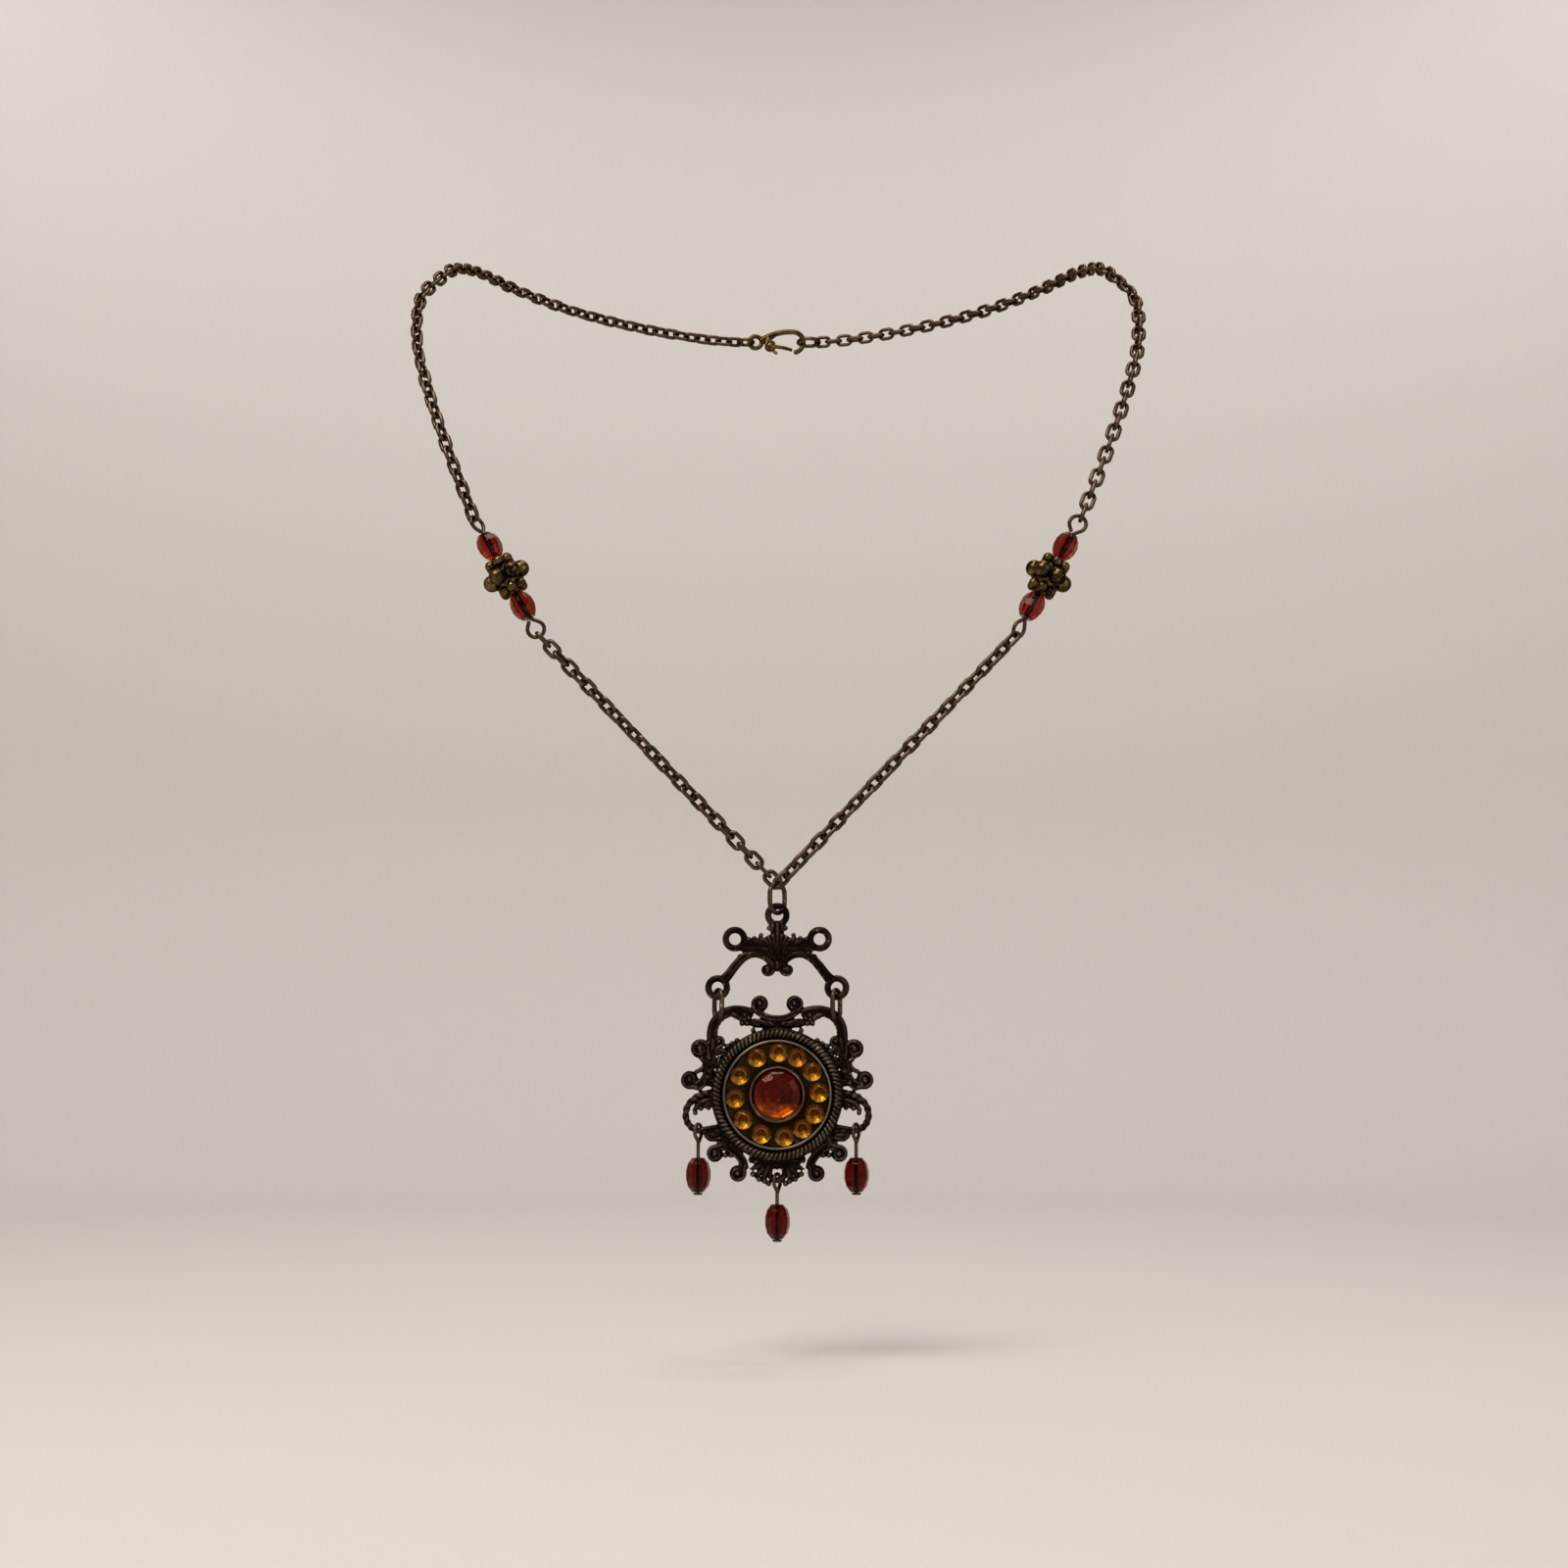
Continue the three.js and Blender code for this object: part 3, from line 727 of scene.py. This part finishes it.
def make_stations(looks):
    length = (STATION_TOP - STATION_FOOT).length
    for name, side in (("left", -1), ("right", 1)):
        place = station_matrix(side)
        pin = moved(station_pin_mesh(length, *PIN_EYE_TURNS[name]), place)
        node = f"station_pin_{name}"
        finish_piece(f"station_{name}_pin_wire", pin, looks["wire"], f"{name}_station", node)
        top = -FIRST_BEAD
        for bead in ("upper_bead", "spacer", "lower_bead"):
            size = SPACER_LENGTH if bead == "spacer" else RED_BEAD_LENGTH
            centre = at((0, 0, top - size / 2))
            body, node = f"{name}_station_{bead}", f"station_{name}_{bead}"
            if bead == "spacer":
                mesh = moved(spacer_mesh(), place @ centre)
                finish_piece(f"{node}_grains", mesh, looks["brass"], body, node)
            else:
                turn = Matrix.Rotation(0.3 if bead == "upper_bead" else 0.1, 4, "Z")
                mesh = faceted_bead_mesh(size, end=1.15, bore=PIN_BORE, belt=0.26)
                mesh = moved(mesh, place @ centre @ turn)
                finish_piece(f"{node}_glass", mesh, looks["station_garnet"], body, node, smooth=False)
            top -= size + BEAD_GAP


def long_ring_points(half_width, half_height, slit=0.04, steps=14):
    """A ring drawn out in height, whose wire ends meet at a hairline slit halfway up one side."""
    straight = half_height - half_width
    points = [Vector((half_width, 0, slit))]
    for centre, first in ((straight, 0), (-straight, 180)):
        for i in range(steps + 1):
            angle = math.radians(first + 180 * i / steps)
            points.append(Vector((half_width * math.cos(angle), 0, centre + half_width * math.sin(angle))))
    points.append(Vector((half_width, 0, -slit)))
    return points


def make_rings(looks):
    connector = (1.3, 2.3)
    rings = [
        ("pendant_ring", "pendant_ring", (0, 31.83), (1.85, 2.47), PENDANT_RING_TURN),
        ("connector_ring_left", "left_connector", (-9.6, 14.51), connector, -CONNECTOR_TURN),
        ("connector_ring_right", "right_connector", (9.6, 14.51), connector, CONNECTOR_TURN),
    ]
    for node, body, (x, z), (half_width, half_height), yaw in rings:
        mesh = sweep_tube(long_ring_points(half_width, half_height), RING_WIRE, 12)
        place = at(STONE + Vector((x, 0, z))) @ Matrix.Rotation(yaw, 4, "Z")
        finish_piece(f"{node}_wire", moved(mesh, place), looks["wire"], body, node)


def make_drops(looks):
    for name, (x, z, hang) in DROPS.items():
        top = Vector((x, 0, z + DROP_WIRE + EYE_REST))
        place = at(STONE + top) @ Matrix.Rotation(DROP_TURN, 4, "Z")
        bead_top = -(hang + DROP_WIRE + BEAD_GAP)
        bead_foot = bead_top - DROP_BEAD_LENGTH
        eye_line = reversed(smooth_path(teardrop(0, -DROP_EYE_LENGTH, DROP_EYE, DROP_WIRE), 3))
        line = [*eye_line, Vector((0, 0, -DROP_EYE_LENGTH - 0.5)), Vector((0, 0, bead_foot - 0.15))]
        pin = sweep_tube(line, DROP_WIRE, 10)
        head = lathe([(0, -0.42), (0.55, -0.38), (0.78, -0.2), (0.78, -0.06), (0.6, 0), (0, 0)], 20)
        head.transform(at((0, 0, bead_foot - BEAD_GAP)))
        headpin = moved(merged([pin, head]), place)
        finish_piece(f"headpin_{name}_wire", headpin, looks["wire"], f"{name}_drop", f"headpin_{name}")
        bead = faceted_bead_mesh(DROP_BEAD_LENGTH, end=1.0, bore=DROP_BEAD_BORE, belt=0.24)
        bead = moved(bead, place @ at((0, 0, (bead_top + bead_foot) / 2)))
        node = f"drop_bead_{name}"
        finish_piece(f"{node}_glass", bead, looks["garnet"], f"{name}_drop_bead", node, smooth=False)


# ---- castings ----

def flat(points):
    """Points (x, z) of the pendant's face as points in space."""
    return [Vector((x, 0, z)) for x, z in points]


def spiral(centre, radius, start, sweep, inner=0.35, steps=26):
    """Points of a volute that starts on its rim and winds inwards, angles in degrees."""
    points = []
    for i in range(steps + 1):
        share = i / steps
        angle = math.radians(start + sweep * share)
        reach = radius * (1 - (1 - inner) * share ** 1.15)
        points.append((centre[0] + reach * math.cos(angle), centre[1] + reach * math.sin(angle)))
    return points


def scroll_band(points, width, taper, depth):
    """A rounded band along points of the face, thinner towards its curled end."""
    size = lambda share: width * (1 - (1 - taper) * share)
    return sweep_tube(flat(points), size, 10, flatten=depth)


def boss(centre, radius, rise):
    return ball((centre[0], 0, centre[1]), radius, (1, rise, 1), rings=8, sides=14)


def rope_band(points, radius, pitch, sides=14, closed=False):
    """A two-strand twisted wire along points."""
    line = points if isinstance(points[0], Vector) else flat(points)
    turns = path_length(line) / pitch
    if closed:
        turns = round(turns)

    def section(share, angle):
        return 0.72 + 0.32 * abs(math.cos(angle - math.pi * turns * share))

    return sweep_tube(line, radius, sides, closed=closed, twist=section)


def leaf(root, tip, width, rise):
    """A pointed leaf with a raised middle."""
    root, tip = flat([root, tip])
    line = [root.lerp(tip, i / 10) for i in range(11)]
    size = lambda share: width * max(0.12, math.sin(math.pi * min(0.98, 0.12 + 0.86 * share)) ** 0.8)
    return sweep_tube(line, size, 10, flatten=rise)


def curve(points, steps=6):
    return [(p.x, p.z) for p in smooth_path(flat(points), steps)]


def beside(points, distance):
    """The line at a distance to the left of a line of the face."""
    result = []
    for i, (x, z) in enumerate(points):
        ahead, behind = points[min(i + 1, len(points) - 1)], points[max(i - 1, 0)]
        run, rise = ahead[0] - behind[0], ahead[1] - behind[1]
        size = math.hypot(run, rise)
        result.append((x - distance * rise / size, z + distance * run / size))
    return result


class Casting:
    """Gathers the shells of one casting. Shapes are given for the right half and mirrored to the left."""

    def __init__(self):
        self.shells = []

    def add(self, shell):
        self.shells.append(shell)

    def both(self, shape, *args, **settings):
        self.add(moved(shape(*args, **settings), Matrix.Diagonal((-1, 1, 1, 1))))
        self.add(shape(*args, **settings))

    def band(self, points, width, taper=1.0, depth=1.0):
        self.both(scroll_band, points, width, taper, depth)

    def strap(self, points, half_width, web=0.42, ridge=0.24, rise=2.6):
        """A flat strap with a raised edge along each side."""
        self.both(scroll_band, points, half_width, 1, web / half_width)
        for side in (-1, 1):
            self.both(scroll_band, beside(points, side * (half_width - ridge)), ridge, 1, rise)

    def volute(self, centre, radius, start, sweep, run_in=(), width=0.34):
        """A scroll's curled end: a dished disc, a raised band that winds inwards and a round boss."""
        self.both(boss, centre, radius * 0.93, 0.55 / radius)
        wind = spiral(centre, radius - width * 0.8, start, sweep, 0.34)
        self.band([*run_in, *wind], width, 0.7, 0.82 / width)
        self.both(boss, centre, radius * 0.36, 0.92 / (radius * 0.36))

    def flower(self, centre, petals, reach, size, rise=0.85):
        turns = [math.radians(90 + 360 * k / petals) for k in range(petals)]
        places = [(centre[0] + reach * math.cos(t), centre[1] + reach * math.sin(t)) for t in turns]
        self.dots(places, size, rise)
        self.both(boss, centre, size * 0.85, (rise + 0.12) / (size * 0.85))

    def spray(self, root, tips, width, rise=0.8):
        """Leaves that spread from one root."""
        for tip in tips:
            self.both(leaf, root, tip, width, rise / width)

    def dots(self, places, size, rise=0.75):
        for place in places:
            self.both(boss, place, size, rise / size)


def face_ring(centre, radius, wire, sides=12, steps=40):
    turns = (2 * math.pi * i / steps for i in range(steps))
    ring = flat([(centre[0] + radius * math.cos(a), centre[1] + radius * math.sin(a)) for a in turns])
    return sweep_tube(ring, wire, sides, closed=True)


def crown_mesh():
    cast = Casting()
    for place in ((-6.9, 25.1), (6.9, 25.1), (-9.7, 17.2), (9.7, 17.2), (0, 29)):
        cast.add(face_ring(place, 1.5, 0.56))
    # neck under the top loop: three ribs and a little shoulder on each side
    cast.add(scroll_band([(0, 27.6), (0, 26.4), (0, 25.0)], 0.34, 1, 2.3))
    cast.add(sweep_tube(flat([(0, 27.7), (0, 24.5)]), 1.15, 12, flatten=0.42))
    cast.band(curve([(0.72, 28.0), (0.78, 27.2), (1.0, 26.4)]), 0.3, 1, 2.2)
    cast.dots([(1.35, 26.9)], 0.42)
    # fluted fan: ribs that spread upwards from one point, each with a round top
    ribs = 7
    for i in range(ribs):
        spread = (i - (ribs - 1) / 2) / ((ribs - 1) / 2)
        top = (2.25 * spread, 26.0 - 0.95 * abs(spread) ** 1.6)
        rib = flat([(0.12 * spread, 20.9), (0.85 * spread, 22.9), (1.65 * spread, 24.6), top])
        cast.add(sweep_tube(smooth_path(rib, 4), lambda share: 0.18 + 0.2 * share, 8, flatten=2.1))
    web = flat([(0, 21.0), (0, 22.6), (0, 24.0), (0, 25.5)])
    cast.add(sweep_tube(web, lambda share: 0.5 + 1.55 * share, 12, flatten=0.24))
    # wings from the fan to the side loops, with leafy upper edges
    cast.band([(1.7, 24.5), (3.4, 24.3), (4.8, 24.3), (5.6, 24.6)], 0.72, 0.85, 0.75)
    cast.band([(1.6, 23.4), (3.2, 23.5), (4.8, 23.4), (5.9, 23.6)], 0.55, 0.9, 0.9)
    cast.spray((2.2, 24.1), [(3.0, 25.9), (4.0, 25.5), (4.9, 25.3)], 0.36, 0.75)
    cast.dots([(2.65, 25.75), (3.75, 25.25), (4.7, 25.1)], 0.4)
    # arms: each springs from a small volute beside the point, arches over and runs down to a lower loop
    arm = curve([
        (8.75, 18.2), (7.9, 19.25), (6.7, 20.8), (5.5, 22.0), (4.0, 22.65), (2.5, 22.4),
        (1.3, 21.5), (0.75, 20.7),
    ])
    cast.band(arm[:-1] + spiral((1.62, 20.2), 0.95, 150, 330, 0.35, 22), 0.78, 0.45, 0.95)
    cast.band(beside(arm[:22], -0.45), 0.42, 0.8, 1.75)
    cast.band(curve([(8.9, 18.6), (7.7, 19.9), (6.4, 21.6), (5.9, 22.5)]), 0.62, 0.7, 0.95)
    cast.dots([(1.62, 20.2)], 0.62, 0.85)
    # web that closes the corner between each arm and the fan
    cast.band([(0.9, 22.2), (2.3, 23.1)], 0.62, 1, 0.7)
    cast.add(leaf((0, 21.8), (0, 19.7), 0.44, rise=1.5))
    return merged(cast.shells)


def medallion_frame_mesh():
    cast = Casting()
    rim = DISC_HALF
    # backing disc under the rope, with a raised step
    disc = [(0, -rim), (10.5, -rim), (10.65, -0.6), (10.65, 0.5), (10.4, rim), (0, rim)]
    cast.add(lathe(disc, 96, "-Y"))
    # top: a U-shaped strap with a volute at each end, over leaves that fill the space down to the disc
    cast.add(ball((0, 0, 11.3), 1.0, (3.7, 0.5, 0.95)))
    cast.strap(curve([(-0.1, 12.25), (1.2, 12.35), (2.5, 12.85), (3.4, 13.4)]), 0.52)
    cast.volute((2.8, 14.6), 1.5, -55, 440, [(3.3, 13.3)])
    cast.spray((0.4, 10.9), [(3.9, 12.2), (3.4, 11.5), (1.8, 11.9)], 0.42)
    # shoulder: a bow with a plain outer edge and a corded inner one
    bow = curve([
        (3.9, 13.3), (5.2, 13.75), (7.3, 13.85), (9.3, 13.1), (10.6, 11.5), (11.0, 9.6), (10.8, 7.4),
    ], 8)
    cast.band(bow, 0.46, 1, 1.5)
    cast.band(beside(bow, -0.62), 0.62, 1, 0.7)
    inner = beside(bow, -1.0)
    cast.both(rope_band, inner[4:], 0.36, 0.9, 12)
    cast.flower((5.3, 12.0), 5, 0.72, 0.46)
    cast.spray((5.6, 12.4), [(7.9, 13.1), (7.2, 12.4)], 0.4)
    cast.band([(2.9, 11.2), (5.1, 11.8)], 0.6, 0.9)
    # inner curl and leaves between the bow and the disc
    cast.volute((9.4, 8.5), 1.05, -70, -380, [(8.3, 6.9), (9.2, 7.2)], 0.28)
    cast.spray((10.6, 6.4), [(8.2, 7.3), (8.6, 8.3), (10.3, 9.6)], 0.5)
    cast.dots([(6.5, 8.7), (7.3, 8.2), (3.9, 10.3)], 0.42)
    cast.dots([(8.0, 7.7), (8.7, 6.5), (9.4, 5.6)], 0.5)
    # side scrolls: an upper and a lower volute on one stem
    stem = curve([(10.9, 8.2), (10.75, 6.6), (10.8, 5.0), (11.2, 3.4), (12.0, 2.0), (13.1, 1.15)])
    cast.strap(stem, 0.78)
    cast.volute((12.5, 7.35), 1.7, 200, -470, [(10.9, 5.6)], 0.4)
    cast.volute((14.15, 2.4), 1.55, -110, 450, [(12.9, 1.1)], 0.4)
    cast.band(curve([(12.3, 5.9), (11.7, 5.0), (12.2, 4.1), (13.2, 3.6)]), 0.42, 0.9, 1.3)
    cast.band([(8.8, 4.6), (11.0, 4.9)], 0.62)
    cast.band([(9.6, 1.8), (11.9, 2.1)], 0.7)
    cast.spray((9.9, 3.2), [(12.0, 3.9), (12.4, 2.4)], 0.55)
    # side loop: a corded bow with leaves in its upper half; a drop hangs on its foot
    loop = curve([
        (9.8, 0.3), (11.5, 0.2), (13.2, -0.5), (14.5, -2.0), (14.65, -3.9), (13.8, -5.2), (12.7, -5.7),
        (11, -5.85), (9, -6.0),
    ], 10)
    cast.both(rope_band, loop, 0.58, 1.1)
    cast.band(curve([(9.9, -0.9), (11.4, -1.0), (12.7, -1.6), (13.4, -2.6)]), 0.48, 0.8, 1.3)
    cast.spray((10.2, -0.6), [(12.2, -2.3), (11.2, -2.4), (13.3, -1.4)], 0.42)
    cast.dots([(12.3, -2.2), (13.2, -2.9), (11.1, -2.1)], 0.42)
    cast.band([(9.3, -5.0), (12.3, -5.5)], 0.34, 1, 1.7)
    cast.band(curve([(11.4, -6.3), (10.9, -6.8), (10.1, -7.0), (8.6, -6.6)]), 0.55, 0.9, 1.2)
    cast.spray((8.6, -6.5), [(11.8, -6.3), (11.0, -7.4)], 0.45)
    # bottom scroll: a broad strap with a volute at each end
    arc = curve([(9.6, -8.1), (8.0, -8.25), (6.6, -9.2), (5.6, -10.5), (5.2, -11.8)])
    cast.strap(arc, 0.72)
    cast.volute((10.0, -9.4), 1.45, 100, -430, [(8.9, -7.95)], 0.36)
    cast.volute((6.35, -12.5), 1.45, 150, 450, [(5.1, -11.2)], 0.36)
    cast.band([(7.6, -6.4), (8.6, -8.0)], 0.75)
    cast.dots([(7.4, -9.6), (8.3, -9.6)], 0.46)
    # foot: two sprays of leaves beside the ring that the centre drop hangs on
    cast.add(face_ring((0, -12.3), 1.25, 0.5))
    cast.add(sweep_tube(flat([(0, -9.8), (0, -11.3)]), 1.5, 12, flatten=0.4))
    cast.spray((1.2, -10.5), [(4.5, -10.6), (4.4, -11.9), (3.6, -13.2), (2.4, -13.9)], 0.58)
    cast.dots([(2.0, -13.7), (1.35, -14.1), (2.9, -13.4), (3.9, -12.6)], 0.46)
    cast.band([(0.9, -10.2), (4.4, -10.3)], 0.6)
    return merged(cast.shells)


def make_castings(looks):
    voxel = 0.13
    crown = moved(cast_together(crown_mesh(), voxel), at(STONE))
    finish_piece("crown_casting", crown, looks["bronze"], "crown", "crown")
    medallion = moved(cast_together(medallion_frame_mesh(), voxel), at(STONE))
    finish_piece("medallion_casting", medallion, looks["bronze"], "medallion", "medallion_frame")


# ---- medallion setting ----

def brilliant(girdle, table, top, share, culet, shelf):
    """Rings of a round cut stone: (radius, height), from the culet up to the table, which lies at top over
    the tray's floor. The girdle is at a share of the height. Outside the shelf's radius the pavilion is
    almost flat, so that light from above leaves through the lower crown."""
    low, high = TRAY_FLOOR + GLUE, TRAY_FLOOR + top
    middle = low + share * (high - low)
    edge = 0.12 * (high - low) ** 0.5
    return [
        (culet, low), (shelf, middle - 0.13 * (girdle - shelf)), (girdle, middle), (girdle, middle + edge),
        (0.55 * girdle + 0.45 * table, 0.4 * (middle + edge) + 0.6 * high), (table, high),
    ]


def ring_faces(low, high, facets):
    """One facet after another between two rings of vertices."""
    turns = [(k, (k + 1) % facets) for k in range(facets)]
    return [(low + k, low + nxt, high + nxt, high + k) for k, nxt in turns]


def stone_mesh(rings, facets):
    """A faceted stone that faces -Y."""
    last = (len(rings) - 1) * facets
    faces = [tuple(reversed(range(facets))), tuple(range(last, last + facets))]
    for level in range(len(rings) - 1):
        faces += ring_faces(level * facets, (level + 1) * facets, facets)
    return moved(solid(ring_vertices(rings, facets), faces), TO_FRONT)


def foil_mesh(rings, facets, gap=0.025):
    """A thin faceted cup round the pavilion of a stone."""
    pavilion = rings[:3]
    inner = [(radius + gap, height - gap) for radius, height in pavilion]
    outer = [(radius + 2 * gap, height - 2 * gap) for radius, height in pavilion]
    shift = len(pavilion) * facets
    faces = [tuple(range(facets)), tuple(reversed(range(shift, shift + facets)))]
    for level in range(len(pavilion) - 1):
        skin = ring_faces(level * facets, (level + 1) * facets, facets)
        faces += [tuple(reversed(face)) for face in skin]
        faces += [tuple(shift + i for i in face) for face in skin]
    rim = shift - facets
    faces += [tuple(reversed(face)) for face in ring_faces(rim + shift, rim, facets)]
    return moved(solid(ring_vertices(inner + outer, facets), faces), TO_FRONT)


def finish_stone(node, cut, place, glass_look, foil_look):
    """A stone and the foil cup behind it."""
    stone = moved(stone_mesh(cut, STONE_FACETS), place)
    finish_piece(f"{node}_cut", stone, glass_look, "medallion", node, smooth=False)
    # the cup's foil colour holds painted light: a painted highlight at its foot and painted shade at its top
    cup = moved(foil_mesh(cut, STONE_FACETS), place)
    finish_piece(f"{node}_foil", cup, foil_look, "medallion", None, smooth=False)


def make_setting(looks):
    forward = at(STONE + Vector((0, -DISC_HALF - 0.1, 0)))

    steps = 1100
    angles = (2 * math.pi * i / steps for i in range(steps))
    circle = [Vector((ROPE_CIRCLE * math.cos(a), -0.8, ROPE_CIRCLE * math.sin(a))) for a in angles]
    rope = rope_band(circle, ROPE, pitch=0.72, closed=True, sides=18)
    finish_piece("rope_border_twist", moved(rope, forward), looks["bronze"], "medallion", "rope_border")

    tray = lathe([
        (0, 0), (8.72, 0), (8.75, 0.06), (8.75, 1.36), (8.68, 1.47), (8.5, 1.5), (8.38, 1.42), (8.34, 1.2),
        (8.3, 0.62), (8.1, 0.5), (0, 0.5),
    ], 120, "-Y")
    tray = moved(tray, forward)
    piece = finish_piece("stone_tray_cup", tray, looks["recess"], "medallion", "stone_tray")
    piece.data.materials.append(looks["rim"][0])
    rim_radius, rim_front = 8.2, -DISC_HALF - 0.8
    for face in piece.data.polygons:
        middle = face.center / MM - STONE
        if math.hypot(middle.x, middle.z) > rim_radius and middle.y < rim_front:
            face.material_index = 1

    bezel = lathe([
        (4.2, 0), (4.55, 0), (4.6, 0.1), (4.52, 1.3), (4.4, 1.62), (4.22, 1.7), (4.12, 1.62), (4.14, 1.3),
        (4.2, 1.0),
    ], 80, "-Y")
    bezel = moved(bezel, forward @ at((0, -TRAY_FLOOR, 0)))
    finish_piece("centre_bezel_ring", bezel, looks["bronze"], "medallion", "centre_bezel")

    finish_stone("centre_stone", brilliant(**CENTRE_CUT), forward, looks["deep_red"], looks["copper_foil_painted_light"])
    small_cut = brilliant(**AMBER_CUT)
    for i, degrees in enumerate(AMBER_PLACES):
        angle = math.radians(degrees)
        spot = AMBER_CIRCLE * Vector((math.cos(angle), 0, math.sin(angle)))
        place = forward @ at(spot) @ Matrix.Rotation(0.4 * i, 4, "Y")
        finish_stone(f"amber_stone_{i + 1:02d}", small_cut, place, looks["amber"], looks["gold_foil_painted_light"])


# ---- clasp ----

def round_ring_mesh(x, radius, wire):
    """A round ring that lies flat, whose wire ends meet at a hairline slit."""
    steps, slit = 48, 0.03
    line = []
    for i in range(steps + 1):
        angle = slit + (2 * math.pi - 2 * slit) * i / steps
        line.append(Vector((x - radius * math.sin(angle), radius * math.cos(angle), 0)))
    return sweep_tube(line, wire, 12, start_normal=Vector((0, 0, 1)))


def clasp_body_mesh():
    """A lobster clasp's body: the tail's eye, the hook, and two cheeks that carry the lever's rivet."""
    hook = smooth_path(flat([(1.2, 0.5), (2.8, 1.3), (4.4, 1.9), (6.2, 2.25), (7.8, 2.3)]), 5)
    bow, bow_x, bow_steps = 2.3, 7.8, 14
    for i in range(1, bow_steps + 1):
        angle = math.radians(90 - 170 * i / bow_steps)
        hook.append(Vector((bow_x + bow * math.cos(angle), 0, bow * math.sin(angle))))
    neck = flat([(1.2, 0.2), (1.9, 0.35), (2.9, 0.75), (4.0, 1.55)])
    shells = [
        face_ring((0, 0), CLASP_TAIL, 0.48, steps=32),
        sweep_tube(hook, lambda share: 0.62 - 0.12 * share, 12),
        sweep_tube(neck, lambda share: 0.75 - 0.3 * share, 12),
    ]
    cheek_profile = [(0, -0.18), (0.9, -0.18), (1.02, -0.06), (1.02, 0.06), (0.9, 0.18), (0, 0.18)]
    for ear in (-1, 1):
        cheek = lathe(cheek_profile, 28, "-Y")
        place = at((CLASP_PIVOT.x, ear * CHEEK_Y, CLASP_PIVOT.z + 0.1))
        cheek.transform(place @ Matrix.Diagonal((1.15, 1, 1.05, 1)))
        shells.append(cheek)
        rise = [(2.6, CHEEK_Y, -0.5), (2.5, 0.72, 0.3), (2.5, 0.35, 1.0)]
        shells.append(sweep_tube([Vector((x, ear * y, z)) for x, y, z in rise], 0.5, 10, flatten=0.45))
    return cast_together(merged(shells), 0.08)


def clasp_lever_mesh():
    """The lever: a knuckle round the rivet, the arm that closes the hook and a tab for the thumb."""
    arm = smooth_path(flat([(3.1, -0.9), (4.6, -1.0), (6.3, -1.3), (7.65, -1.72)]), 4)
    tab = smooth_path(flat([(3.3, -1.2), (3.8, -1.9), (4.5, -2.5)]), 4)
    knuckle = lathe([(0.45, -0.42), (0.75, -0.42), (0.75, 0.42), (0.45, 0.42)], 24, "-Y")
    shells = [
        sweep_tube(arm, lambda share: 0.44 - 0.08 * share, 10),
        sweep_tube(tab, 0.34, 10),
        moved(knuckle, at(CLASP_PIVOT)),
    ]
    return cast_together(merged(shells), 0.06, smooth_steps=1)


def make_clasp(looks):
    place = at(CLASP)
    for node, ring in (("clasp_ring", CLASP_RING), ("end_ring", END_RING)):
        mesh = moved(round_ring_mesh(*ring), place)
        finish_piece(f"{node}_wire", mesh, looks["wire"], "neck_chain", node)
    body = moved(clasp_body_mesh(), place)
    finish_piece("clasp_body_cast", body, looks["brass"], "neck_chain", "clasp_body")
    lever = moved(clasp_lever_mesh(), place)
    finish_piece("clasp_lever_cast", lever, looks["brass"], "clasp_lever", "clasp_lever")
    rivet = lathe([
        (0, -1.05), (0.4, -1.02), (0.48, -0.96), (0.36, -0.95), (0.36, 0.95), (0.48, 0.96), (0.4, 1.02),
        (0, 1.05),
    ], 20, "-Y")
    rivet = moved(rivet, place @ at(CLASP_PIVOT))
    finish_piece("clasp_rivet_pin", rivet, looks["brass"], "neck_chain", "clasp_rivet")


# ---- the scene ----

place_camera()
place_lights()
place_floor()
looks = make_looks()
make_chains(looks)
make_stations(looks)
make_rings(looks)
make_drops(looks)
make_castings(looks)
make_setting(looks)
make_clasp(looks)
